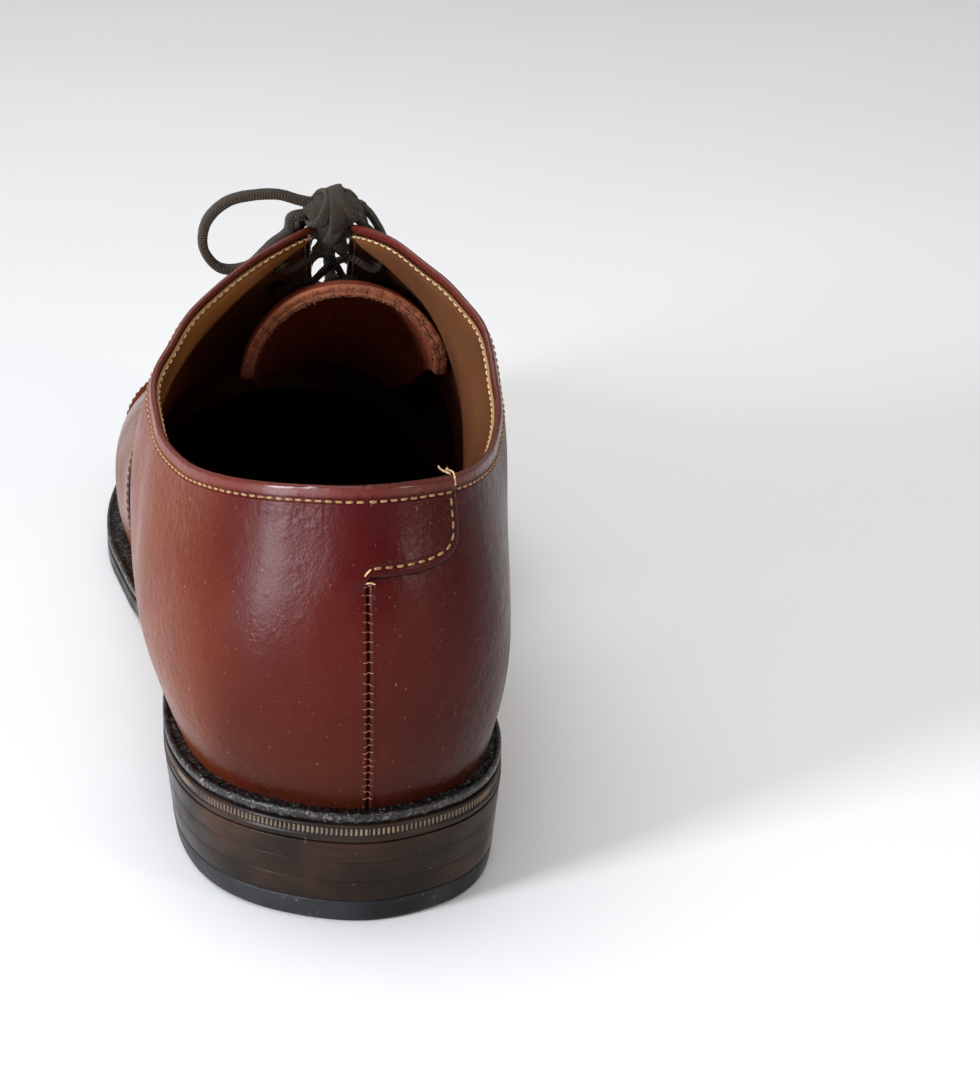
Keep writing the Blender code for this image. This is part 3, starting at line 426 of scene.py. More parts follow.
def smooth_path(points, spacing):
    """Points a set distance apart along a smooth curve through the given ones."""
    p = np.array(points, float)
    padded = np.concatenate([[2 * p[0] - p[1]], p, [2 * p[-1] - p[-2]]])
    t = np.linspace(0, 1, 24, endpoint=False)[:, None]
    spans = []
    for a, b, c, d in zip(padded, padded[1:], padded[2:], padded[3:]):
        spans.append(hermite(b, c, (c - a) / 2, (d - b) / 2, t))
    dense = np.concatenate(spans + [p[-1:]])
    run = run_along(dense)
    return rows_at(dense, run, np.linspace(0, run[-1], max(3, round(run[-1] / spacing) + 1)))


# ---------------------------------------------------------------- camera

CAMERA_PLACE = (-0.045, -0.662, 0.2842)
CAMERA_YAW, CAMERA_PITCH, CAMERA_ROLL = -7.67, 21.2, 0.85
CAMERA_LENS, SENSOR_WIDTH = 96.5, 36.0


def aim_camera():
    """The photograph's viewpoint: behind the heel and above it, looking along the shoe."""
    yaw, pitch, roll = (math.radians(angle) for angle in (CAMERA_YAW, CAMERA_PITCH, CAMERA_ROLL))
    ahead = np.array([-math.sin(yaw), math.cos(yaw), 0.0]) * math.cos(pitch)
    ahead[2] = -math.sin(pitch)
    level = unit(np.cross(ahead, [0.0, 0.0, 1.0]))
    upright = np.cross(level, ahead)
    right = math.cos(roll) * level + math.sin(roll) * upright
    up = -math.sin(roll) * level + math.cos(roll) * upright
    data = bpy.data.cameras.new("photo_camera")
    data.sensor_width = SENSOR_WIDTH
    data.lens = CAMERA_LENS
    data.clip_start = 0.01
    camera = bpy.data.objects.new("photo_camera", data)
    bpy.context.scene.collection.objects.link(camera)
    axes = np.eye(4)
    axes[:3] = np.stack([right, up, -ahead, CAMERA_PLACE], axis=1)
    camera.matrix_world = Matrix(axes.tolist())
    bpy.context.scene.camera = camera


aim_camera()

# ---------------------------------------------------------------- shaders


def rgb(r, g, b):
    """A linear colour from screen values out of 255."""
    linear = []
    for value in (r, g, b):
        c = value / 255
        linear.append(c / 12.92 if c <= 0.04045 else ((c + 0.055) / 1.055) ** 2.4)
    return (*linear, 1.0)


class Shader:
    """A Principled material and short ways to add nodes to it."""

    def __init__(self, name, roughness=0.5, **sockets):
        self.material = bpy.data.materials.new(name)
        self.material.use_nodes = True
        self.tree = self.material.node_tree
        self.bsdf = self.tree.nodes["Principled BSDF"]
        self.set(self.bsdf, Roughness=roughness, **sockets)
        self.place = self.add("TexCoord").outputs["Object"]

    def set(self, node, **sockets):
        for name, value in sockets.items():
            self.put(node.inputs[name.replace("_", " ")], value)

    def put(self, socket, value):
        if isinstance(value, bpy.types.NodeSocket):
            self.tree.links.new(value, socket)
        elif value is not None:
            socket.default_value = value

    def add(self, kind, props=None, **sockets):
        node = self.tree.nodes.new("ShaderNode" + kind)
        for name, value in (props or {}).items():
            setattr(node, name, value)
        self.set(node, **sockets)
        return node

    def noise(self, scale, detail=3.0, at=None, distortion=0.0):
        node = self.add("TexNoise", Scale=scale, Detail=detail, Distortion=distortion)
        self.set(node, Vector=at or self.place)
        return node.outputs["Fac"]

    def stretched(self, x, y, z):
        node = self.add("VectorMath", {"operation": "MULTIPLY"})
        self.put(node.inputs[0], self.place)
        self.put(node.inputs[1], (x, y, z))
        return node.outputs["Vector"]

    def ramp(self, value, low, high, to_low=0.0, to_high=1.0):
        node = self.add("MapRange", {"interpolation_type": "SMOOTHSTEP"}, Value=value)
        self.set(node, From_Min=low, From_Max=high, To_Min=to_low, To_Max=to_high)
        return node.outputs["Result"]

    def math(self, operation, a, b=0.0):
        node = self.add("Math", {"operation": operation})
        for socket, value in zip(node.inputs, (a, b)):
            self.put(socket, value)
        return node.outputs["Value"]

    def mix(self, share, a, b):
        node = self.add("Mix", {"data_type": "RGBA"})
        for socket, value in zip((node.inputs[0], node.inputs[6], node.inputs[7]), (share, a, b)):
            self.put(socket, value)
        return node.outputs[2]

    def attribute(self, name):
        return self.add("Attribute", {"attribute_name": name}).outputs["Fac"]

    def axis(self, name):
        return self.add("SeparateXYZ", Vector=self.place).outputs[name]

    def bump(self, height, distance, strength=1.0, under=None):
        node = self.add("Bump", Height=height, Distance=distance, Strength=strength)
        if under is not None:
            self.put(node.inputs["Normal"], under)
        return node.outputs["Normal"]

    def finish(self, color=None, normal=None, roughness=None):
        self.set(self.bsdf, Base_Color=color, Normal=normal, Roughness=roughness)
        return self.material


def burnished_leather(name):
    """Waxed calf: chestnut ground, burgundy clouds, browner low down and on the outer side, with painted
    shade darkening the inner side.
    """
    s = Shader(name, 0.3, Coat_Roughness=0.16, Specular_IOR_Level=0.11)
    clouds = s.ramp(s.noise(14.0, 3.0, distortion=0.5), 0.4, 0.62)
    color = s.mix(clouds, rgb(72, 16, 8), rgb(60, 5, 9))
    low = s.ramp(s.axis("Z"), 0.068, 0.028)
    color = s.mix(s.math("MULTIPLY", low, 0.85), color, rgb(60, 21, 5))
    color = s.mix(s.ramp(s.axis("Z"), 0.036, 0.026, 0.0, 0.55), color, rgb(38, 16, 8))
    wander = s.math("MULTIPLY", s.math("SUBTRACT", s.noise(22.0), 0.5), 0.03)
    outer = s.ramp(s.math("ADD", s.axis("X"), wander), -0.022, -0.043)
    color = s.mix(s.math("MULTIPLY", outer, 0.7), color, rgb(116, 54, 20))
    # Painted shade: the inner side is darkened, as if turned away from the lamps.
    inner = s.ramp(s.math("ADD", s.axis("X"), wander), 0.012, 0.032)
    color = s.mix(s.math("MULTIPLY", inner, 0.65), color, rgb(38, 9, 6))
    fine = s.noise(900.0, 4.0)
    color = s.mix(s.ramp(fine, 0.35, 0.7, 0.0, 0.3), color, rgb(70, 20, 14))
    smudge = s.ramp(s.noise(120.0, 5.0, distortion=1.0), 0.52, 0.75, 0.0, 0.3)
    color = s.mix(smudge, color, rgb(74, 24, 18))
    specks = s.ramp(s.noise(1100.0, 1.0), 0.74, 0.8, 0.0, 0.35)
    color = s.mix(specks, color, rgb(176, 120, 96))
    edge = s.attribute("edge")
    color = s.mix(s.ramp(edge, 0.2, 1.6, 0.6, 0.0), color, rgb(38, 12, 9))
    row = s.attribute("row")
    groove = s.ramp(s.math("ABSOLUTE", row), 0.15, 0.75)
    color = s.mix(s.ramp(s.math("ABSOLUTE", row), 0.0, 0.8, 0.5, 0.0), color, rgb(48, 14, 10))
    rim = s.attribute("rim")
    fold = s.ramp(rim, 2.6, 1.6)
    color = s.mix(s.math("MULTIPLY", fold, 0.6), color, rgb(104, 42, 32))
    color = s.mix(s.attribute("dyed"), color, rgb(9, 8, 11))
    wrinkle = s.noise(1.0, 3.0, at=s.stretched(420.0, 420.0, 90.0), distortion=0.6)
    near_rim = s.ramp(rim, 18.0, 3.0)
    pores = s.add("TexVoronoi", Scale=1500.0, Vector=s.place).outputs["Distance"]
    normal = s.bump(pores, 0.00006, 0.5)
    cells = s.add("TexVoronoi", {"feature": "SMOOTH_F1"}, Scale=650.0, Vector=s.place)
    pebble = s.math("MULTIPLY", cells.outputs["Distance"], s.ramp(s.noise(40.0), 0.4, 0.6))
    normal = s.bump(pebble, 0.00022, 0.5, under=normal)
    normal = s.bump(s.math("MULTIPLY", wrinkle, near_rim), 0.00022, 0.6, under=normal)
    normal = s.bump(s.noise(55.0, 3.0), 0.0008, 0.45, under=normal)
    rough_spots = s.ramp(s.noise(260.0, 4.0), 0.5, 0.72)
    normal = s.bump(rough_spots, 0.0001, 0.6, under=normal)
    normal = s.bump(groove, 0.0003, 0.8, under=normal)
    rough = s.ramp(s.noise(45.0, 4.0), 0.3, 0.7, 0.22, 0.38)
    s.set(s.bsdf, Coat_Weight=s.ramp(rim, 3.0, 1.4, 0.03, 0.4))
    return s.finish(color, normal, rough)


def lining_leather(name):
    """Tan lining: darker on its inner side, with painted light and shade further inside the shoe, raw and
    pale on its cut edge.
    """
    s = Shader(name, 0.55, Specular_IOR_Level=0.35)
    color = s.mix(s.ramp(s.noise(28.0, 4.0), 0.35, 0.65), rgb(160, 106, 56), rgb(120, 74, 38))
    inner = s.ramp(s.axis("X"), 0.0, 0.02, 0.0, 0.8)
    color = s.mix(inner, color, rgb(84, 48, 26))
    # Painted light and shade further inside the shoe: a lighter tan on the outer side, a dark brown on
    # the inner side.
    deep_painted_light_shade = s.ramp(s.attribute("rim"), 12.0, 60.0)
    color = s.mix(deep_painted_light_shade, color, s.mix(inner, rgb(176, 98, 62), rgb(92, 50, 34)))
    edge = s.attribute("edge")
    color = s.mix(s.ramp(edge, 0.6, 0.1), color, rgb(178, 138, 92))
    row = s.ramp(s.math("ABSOLUTE", s.attribute("row")), 0.0, 0.9, 0.5, 0.0)
    color = s.mix(row, color, rgb(86, 52, 28))
    normal = s.bump(s.noise(700.0, 5.0), 0.00015, 0.6)
    return s.finish(color, normal)


def suede(name, ground, fibre, scale=900.0, roughness=0.85, cut=None):
    """A fibrous face of leather; cut is the colour of its raw edge, from the edge attribute."""
    s = Shader(name, roughness, Specular_IOR_Level=0.25)
    color = s.mix(s.ramp(s.noise(scale, 5.0), 0.35, 0.65), ground, fibre)
    color = s.mix(s.ramp(s.noise(60.0, 3.0), 0.4, 0.7, 0.0, 0.4), color, ground)
    if cut is not None:
        color = s.mix(s.ramp(s.attribute("edge"), 1.5, 0.3), color, cut)
    normal = s.bump(s.noise(scale * 0.8, 6.0), 0.0003, 0.9)
    return s.finish(color, normal)


def inked_leather(name, ground, light, roughness=0.36):
    """A waxed and inked leather edge, with faint layers, scuffs and pale specks."""
    s = Shader(name, roughness, Coat_Weight=0.05, Coat_Roughness=0.18, Specular_IOR_Level=0.16)
    color = s.mix(s.ramp(s.noise(32.0, 4.0), 0.4, 0.75), ground, light)
    layers = s.noise(1.0, 4.0, at=s.stretched(60.0, 60.0, 1400.0))
    color = s.mix(s.ramp(layers, 0.45, 0.75, 0.0, 0.6), color, ground)
    specks = s.ramp(s.noise(520.0, 2.0), 0.71, 0.78, 0.0, 0.4)
    color = s.mix(specks, color, rgb(120, 98, 76))
    worn = s.math("MULTIPLY", s.attribute("worn"), s.ramp(s.noise(90.0, 2.0), 0.3, 0.6, 0.25, 1.0))
    color = s.mix(worn, color, rgb(148, 128, 106))
    normal = s.bump(layers, 0.00012, 0.5)
    normal = s.bump(s.noise(240.0, 5.0), 0.00018, 0.5, under=normal)
    return s.finish(color, normal, s.ramp(s.noise(70.0, 3.0), 0.3, 0.7, 0.27, 0.5))


def fibrous_black(name):
    """The welt's raw upper face: black wax over torn fibres."""
    s = Shader(name, 0.34, Coat_Weight=0.12, Coat_Roughness=0.22, Specular_IOR_Level=0.35)
    fibres = s.noise(700.0, 6.0, distortion=1.2)
    color = s.mix(s.ramp(fibres, 0.5, 0.78, 0.0, 1.0), rgb(16, 13, 12), rgb(112, 106, 104))
    normal = s.bump(fibres, 0.0006, 0.9)
    return s.finish(color, normal)


def top_piece_rubber(name):
    s = Shader(name, 0.5, Specular_IOR_Level=0.2)
    color = s.mix(s.ramp(s.noise(40.0, 5.0), 0.35, 0.7), rgb(20, 19, 19), rgb(38, 39, 42))
    color = s.mix(s.ramp(s.noise(600.0, 2.0), 0.68, 0.76, 0.0, 0.5), color, rgb(110, 112, 110))
    normal = s.bump(s.noise(500.0, 6.0), 0.0003, 0.7)
    return s.finish(color, normal, s.ramp(s.noise(90.0, 3.0), 0.3, 0.7, 0.4, 0.62))


def woven_lace(name):
    """Flat waxed cotton: a plaited weave in the lace's own (across, along) coordinates."""
    s = Shader(name, 0.7, Sheen_Weight=0.1, Specular_IOR_Level=0.18)
    uv = s.add("UVMap", {"uv_map": "UVMap"}).outputs["UV"]
    weave = []
    for turn in (0.72, -0.72):
        at = s.add("Mapping", Vector=uv, Rotation=(0, 0, turn)).outputs["Vector"]
        wave = s.add("TexWave", Scale=0.75, Vector=at)
        weave.append(wave.outputs["Fac"])
    plait = s.math("MULTIPLY", weave[0], weave[1])
    color = s.mix(s.ramp(plait, 0.0, 0.5), rgb(34, 27, 20), rgb(84, 70, 54))
    color = s.mix(s.ramp(s.noise(300.0, 4.0), 0.4, 0.7, 0.0, 0.5), color, rgb(50, 42, 33))
    normal = s.bump(plait, 0.0004, 0.9)
    normal = s.bump(s.noise(1300.0, 5.0), 0.00025, 0.8, under=normal)
    return s.finish(color, normal)


def plain(name, color, roughness, metallic=0.0, grain=400.0):
    s = Shader(name, roughness, Metallic=metallic)
    dark = tuple(c * 0.7 for c in color[:3]) + (1.0,)
    return s.finish(s.mix(s.ramp(s.noise(grain, 4.0), 0.35, 0.7), color, dark))


LEATHER = burnished_leather("burnished_calf")
LINING = lining_leather("tan_lining")
CUT_LEATHER = rgb(142, 82, 56)
TONGUE_TOP = suede("tongue_leather", rgb(120, 50, 32), rgb(136, 62, 42), 500.0, 0.5, CUT_LEATHER)
TONGUE_UNDER = suede("tongue_underside", rgb(168, 84, 56), rgb(126, 58, 40), 700.0, 0.85, CUT_LEATHER)
RAW_EDGE = suede("raw_edge", rgb(178, 118, 88), rgb(112, 62, 48), 1600.0, 0.9)
HEEL_EDGE = inked_leather("inked_heel_edge", rgb(22, 13, 8), rgb(66, 42, 24))
SOLE_EDGE_INK = inked_leather("inked_sole_edge", rgb(20, 14, 11), rgb(52, 38, 28), 0.32)
SOLE_FACE = suede("sole_face", rgb(150, 108, 66), rgb(112, 78, 48), 300.0, 0.6)
WELT_TOP = fibrous_black("fibrous_black_welt")
RUBBER = top_piece_rubber("slate_rubber")
LACE = woven_lace("waxed_woven_lace")
THREAD = suede("tan_thread", rgb(170, 134, 92), rgb(122, 86, 54), 2500.0, 0.7)
PALE_THREAD = suede("pale_thread", rgb(214, 186, 142), rgb(160, 124, 84), 2500.0, 0.7)
SEAM_THREAD = suede("seam_thread", rgb(138, 92, 78), rgb(88, 46, 40), 2500.0, 0.6)
DARK_THREAD = suede("brown_thread", rgb(116, 62, 44), rgb(76, 36, 26), 2500.0, 0.7)

# ---------------------------------------------------------------- meshes


def make(name, points, faces, material, body="shoe", slot=None, replaces=(), values=None, uv=None):
    """A mesh piece from points in millimetres; values are named numbers per point, for shaders."""
    mesh = bpy.data.meshes.new(name)
    mesh.from_pydata((np.asarray(points) * MM).tolist(), [], faces)
    for key, numbers in (values or {}).items():
        layer = mesh.attributes.new(key, "FLOAT", "POINT")
        layer.data.foreach_set("value", np.asarray(numbers, np.float32).ravel())
    if uv is not None:
        corner = np.zeros(len(mesh.loops), int)
        mesh.loops.foreach_get("vertex_index", corner)
        mesh.uv_layers.new(name="UVMap").data.foreach_set("uv", uv[corner].ravel())
    work = bmesh.new()
    work.from_mesh(mesh)
    bmesh.ops.remove_doubles(work, verts=work.verts, dist=2e-6)
    bmesh.ops.recalc_face_normals(work, faces=work.faces)
    for face in work.faces:
        face.smooth = True
    work.to_mesh(mesh)
    work.free()
    for each in material if isinstance(material, list) else [material]:
        mesh.materials.append(each)
    piece = bpy.data.objects.new(name, mesh)
    bpy.context.scene.collection.objects.link(piece)
    if replaces:
        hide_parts(*replaces)
    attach(piece, body)
    return piece


def quads(rows, cols, start=0, around=False):
    """Faces of a grid of points; around joins the last column to the first."""
    faces = []
    for i in range(rows - 1):
        for j in range(cols if around else cols - 1):
            k = (j + 1) % cols
            a = start + i * cols
            faces.append((a + j, a + k, a + cols + k, a + cols + j))
    return faces


def tube(rows, sides, start=0):
    """Faces of a tube of rows of points round it, closed at both ends."""
    end = start + (rows - 1) * sides
    caps = [tuple(range(start, start + sides)), tuple(range(end, end + sides))[::-1]]
    return quads(rows, sides, start, around=True) + caps


def grid_border(rows, cols):
    """The grid's border points in order round it."""
    index = np.arange(rows * cols).reshape(rows, cols)
    return np.concatenate([index[0, :-1], index[:-1, -1], index[-1, :0:-1], index[:0:-1, 0]])


def skin(name, outer, inner, material, closes=False, values=None, **place):
    """A closed sheet between two grids of points. With closes its last column folds on itself."""
    rows, cols = outer.shape[:2]
    points = np.concatenate([outer.reshape(-1, 3), inner.reshape(-1, 3)])
    count = rows * cols
    if closes:
        for layer in np.arange(2 * count).reshape(2, rows, cols):
            last = layer[:, -1]
            points[last] = (points[last] + points[last[::-1]]) / 2
    faces = quads(rows, cols) + quads(rows, cols, count)
    ring = grid_border(rows, cols)
    for a, b in zip(ring, np.roll(ring, -1)):
        if closes and a % cols == cols - 1 and b % cols == cols - 1:
            continue
        faces.append((int(a), int(b), int(b + count), int(a + count)))
    doubled = {key: np.concatenate([v.ravel(), v.ravel()]) for key, v in (values or {}).items()}
    return make(name, points, faces, material, values=doubled, **place)


def nearest(points, line):
    """Distance from each point of a grid to the nearest point of a line."""
    flat = points.reshape(-1, 3)
    best = np.full(len(flat), 1e9)
    for start in range(0, len(line), 60):
        gap = np.linalg.norm(flat[:, None] - line[None, start : start + 60], axis=2)
        best = np.minimum(best, gap.min(axis=1))
    return best.reshape(points.shape[:-1])


def rounded(distance, radius):
    """How much lower a surface lies at a distance from an edge that is rounded."""
    t = np.clip(1 - distance / radius, 0, 1)
    return radius * (1 - np.sqrt(np.maximum(1 - t * t, 0)))


def above_rim(u):
    return last_point(u, np.full_like(u, RIM_V))


def with_foot(grid):
    """Adds a lowest row under a wall's grid, down into the welt."""
    return np.concatenate([grid[:1] + np.array([0, 0, -1.6]), grid])


def pad_first(values):
    return {key: np.concatenate([v[:1], v]) for key, v in values.items()}


# ---------------------------------------------------------------- quarters

EDGE_ROWS = np.array([0, 0.0015, 0.004, 0.008, 0.013, 0.02, 0.03])
RIM_CURVE_OUTER = above_rim(u_at(np.linspace(0.05, 186, 700), -1))
RIM_CURVE_INNER = above_rim(u_at(np.linspace(0.05, 186, 700), 1))
RIM_CURVE = np.concatenate([RIM_CURVE_OUTER, RIM_CURVE_INNER])
UNDER_VAMP = 8.0
SEAM_RAISE = 1.15
QUARTER_LENGTH = 257.0
# The share of the lap's height at which its corner ends
CORNER_RISE = 0.79
# Distances between a grid's columns and an edge it follows, and the lap's columns after them
FINE_STEPS = [0, 0.08, 0.2, 0.38, 0.6, 0.85, 1.15, 1.5, 1.9, 2.4]
LAP_STEPS = [3, 3.8, 4.8, 6, 7.4, 9, 11, 13, 15, 17, 18.6, 20, 21]


def lap_edge(count=140):
    """u and v along the lap's free edge, from the back seam round its corner to the topline."""
    rise = np.linspace(0, 1, count) ** 2.2
    v = TAB_BOTTOM_V + (RIM_V - TAB_BOTTOM_V) * rise
    return TAB_WIDTH * U_PER_MM * tab_reach(rise), v


LAP_U, LAP_V = lap_edge(600)
LAP_LINE = last_point(LAP_U, LAP_V)


def quarter_rows(lapped):
    """v of a quarter's rows: the lap's own rows are close together at its rounded corner."""
    low = np.linspace(0.0, TAB_BOTTOM_V - 0.004, 44)
    if not lapped:
        middle = np.linspace(TAB_BOTTOM_V, RIM_V - 0.034, 20)
        return np.concatenate([low, middle, RIM_V - EDGE_ROWS[::-1]])
    rise = np.concatenate([
        CORNER_RISE * np.linspace(0, 1, 26) ** 2.4,
        CORNER_RISE + (1 - CORNER_RISE) * np.linspace(0.1, 1, 14),
    ])
    v = TAB_BOTTOM_V + (RIM_V - TAB_BOTTOM_V) * rise
    return np.unique(np.round(np.concatenate([low, v, RIM_V - EDGE_ROWS]), 5))


def quarter_uv(side, lapped, cols=150):
    """u and v of a quarter's grid, with extra columns for the lap where it has one."""
    v_rows = quarter_rows(lapped)
    far = np.linspace(0, 1, cols)
    near = np.array(FINE_STEPS + [2.9, 3.5]) / QUARTER_LENGTH
    first_far = 4.2 / QUARTER_LENGTH
    share = np.concatenate([near, first_far + (1 - first_far) * far * (0.5 + 0.5 * far)])
    lap = 1 - np.array(FINE_STEPS + LAP_STEPS if lapped else []) / TAB_WIDTH
    start = side * 0.06 * U_PER_MM
    rows = []
    for level in v_rows:
        front = u_at(seam_front_s(level) + UNDER_VAMP * smooth_step((RIM_V - level) / 0.1), side)
        rows.append(np.concatenate([
            start + lap_reach(level) * U_PER_MM * lap,
            start * (1 - share) + front * share,
        ]))
    u = np.array(rows)
    return u, np.broadcast_to(v_rows[:, None], u.shape).copy()


def lap_raise(u, v):
    """How far the outer quarter stands up where it laps over the inner one."""
    across = u / U_PER_MM
    fade = 0.012 + 0.014 * np.clip(-across - 0.4, 0, 14)
    return SEAM_RAISE * smooth_step((across + 15) / 16) * smooth_step((v - TAB_BOTTOM_V + fade) / fade)


def leather_offset(ground, u, v, lapped):
    """The quarter's outer surface over the last, and the numbers its shader needs."""
    s = loop_point(FEATHER, u)[..., 1]
    rim = nearest(ground, RIM_CURVE)
    across = u / U_PER_MM
    to_vamp = (seam_front_s(np.minimum(v, RIM_V)) - s) * 0.9
    offset = np.full(u.shape, UPPER_OUT)
    below = smooth_step((TAB_BOTTOM_V - v) / 0.012)
    seam = np.abs(across)
    offset -= below * 0.75 * np.exp(-((seam / 0.32) ** 2))
    offset += below * 0.22 * np.exp(-(((across - 0.95) / 0.45) ** 2))
    edge = rim.copy()
    row = rim - 3.0
    if lapped:
        offset += lap_raise(u, v)
        lap = nearest(ground, LAP_LINE)
        lap = np.where((v >= TAB_BOTTOM_V) & (across > 0.3), lap, 20.0)
        offset -= rounded(lap, 1.1) * (across > 0.3)
        edge = np.minimum(edge, lap)
        row = np.where(np.abs(lap - 2.2) < np.abs(row), lap - 2.2, row)
    else:
        lap = nearest(ground, LAP_LINE)
        hidden = smooth_step((lap_reach(v) - across) / 1.5) * (v > TAB_BOTTOM_V)
        offset -= 0.35 * hidden
        edge = np.minimum(edge, 0.4 + np.where(hidden > 0.5, 9.0, lap))
    offset -= rounded(rim, 0.7)
    offset -= 0.55 * smooth_step(-to_vamp / 3)
    edge = np.minimum(edge, np.where(below > 0.5, seam * 2.2 + 0.15, 20.0))
    edge = np.minimum(edge, np.abs(to_vamp) + 0.35)
    swell = 0.1 * np.sin(across * 0.11 + 1.0) * np.sin(v * 17.0)
    offset += swell * smooth_step(rim / 20)
    return offset, {"edge": edge, "row": row, "rim": rim}


def lap_reach(v):
    """How far the lap reaches past the back seam at a v, in millimetres."""
    rise = np.clip((v - TAB_BOTTOM_V) / (RIM_V - TAB_BOTTOM_V), 0, 1)
    return TAB_WIDTH * tab_reach(rise)


def build_quarters():
    for side, label in ((-1, "lateral"), (1, "medial")):
        lapped = side < 0
        u, v = quarter_uv(side, lapped)
        ground = last_point(u, v)
        offset, values = leather_offset(ground, u, v, lapped)
        outer = skin_point(u, v, offset)
        inner_offset = UPPER_IN + rounded(values["rim"], 0.7)
        if lapped:
            inner_offset = inner_offset + lap_raise(u, v) * smooth_step((u / U_PER_MM - 0.5) / 3)
        inner = skin_point(u, v, inner_offset)
        skin(
            f"{label}_quarter_leather", with_foot(outer), with_foot(inner), LEATHER,
            values=pad_first(values), slot="burnished_leather", replaces=[f"quarter_{label}"],
        )


def build_linings():
    """Quarter linings, their raw top edge a little under the folded leather."""
    for side, label in ((-1, "lateral"), (1, "medial")):
        v_rows = np.concatenate([np.linspace(0.01, 0.6, 36), RIM_V - 0.0105 - EDGE_ROWS[::-1]])
        share = np.linspace(0, 1, 110)
        front = u_at(seam_front_s(v_rows), side)[:, None]
        u = side * 0.05 * U_PER_MM * (1 - share) + front * share
        v = np.broadcast_to(v_rows[:, None], u.shape)
        ground = last_point(u, v)
        rim = nearest(ground, RIM_CURVE)
        room = stiffener_room(u, v)
        from_top = rim - 1.2
        ragged = 0.1 * np.sin(u * 2900) * np.sin(u * 1270 + 1) * (from_top < 1)
        outer = skin_point(u, v, LINING_LEATHER + 0.1 - room)
        inner = skin_point(u, v, -room + 0.65 * np.clip(1 - from_top / 2.5, 0, 1) + ragged)
        values = {"edge": from_top, "row": rim - 2.4, "rim": rim}
        skin(
            f"{label}_quarter_lining", outer, inner, LINING, values=values,
            slot="lining_leather", replaces=[f"quarter_lining_{label}"],
        )


# ---------------------------------------------------------------- vamp, toe cap and their lining

ARCH_V = np.concatenate([np.linspace(0, 0.62, 38), np.linspace(0.65, 1.0, 26)])


def arch_uv(front, back, cols, toe=False, grow=1.0):
    """u of both sides of an arch over the instep between two distances along the shoe."""
    share = np.linspace(0, 1, cols) ** grow
    sides = []
    for side in (-1, 1):
        if toe:
            start = u_at(np.full((len(ARCH_V), 1), back), side)
            sides.append(start + (side * 0.5 - start) * share)
        else:
            start = np.asarray(back)[:, None] if np.ndim(back) else back
            s = start + (front - start) * share
            sides.append(u_at(s * np.ones((len(ARCH_V), 1)), side))
    return sides


def arch_grid(sides, offset_of):
    """A grid from the outer side's foot over the ridge to the inner side's foot."""
    v = np.broadcast_to(ARCH_V[:, None], sides[0].shape)
    made = [with_foot(skin_point(u, v, offset_of(u, v))) for u in sides]
    ridge = (made[0][-1] + made[1][-1]) / 2
    return np.concatenate([made[0][:-1], ridge[None], made[1][-2::-1]])


def arch_values(sides, value_of):
    """Numbers for the points of an arch_grid."""
    v = np.broadcast_to(ARCH_V[:, None], sides[0].shape)
    made = []
    for u in sides:
        values = value_of(u, v)
        made.append(np.concatenate([values[:1], values]))
    return np.concatenate([made[0][:-1], made[1][::-1]])


def distance_on(u):
    return loop_point(FEATHER, u)[..., 1]


def past_vamp_edge(u, v):
    """Distance in front of the vamp's back edge, square to it."""
    return (distance_on(u) - seam_front_s(np.minimum(v, RIM_V))) * 0.93


def vamp_offset(u, v):
    past = past_vamp_edge(u, v)
    raised = 1.3 * (1 - smooth_step((past - 1) / 16))
    under_cap = 0.5 * smooth_step((distance_on(u) - CAP_SEAM_S + 0.5) / 2)
    flex = 0.22 * np.sin(distance_on(u) * 0.55 + 3 * v) * np.exp(-(((distance_on(u) - 208) / 13) ** 2))
    return UPPER_OUT + raised - rounded(past, 1.2) - under_cap + flex * smooth_step((v - 0.3) / 0.3)


def cap_offset(u, v):
    past = distance_on(u) - CAP_SEAM_S
    raised = 1.2 * (1 - smooth_step((past - 1) / 16))
    return UPPER_OUT + raised - rounded(past, 1.1)


def double_row(past, first, second):
    """Signed distance to the nearer of two stitch rows."""
    return np.where(np.abs(past - first) < np.abs(past - second), past - first, past - second)


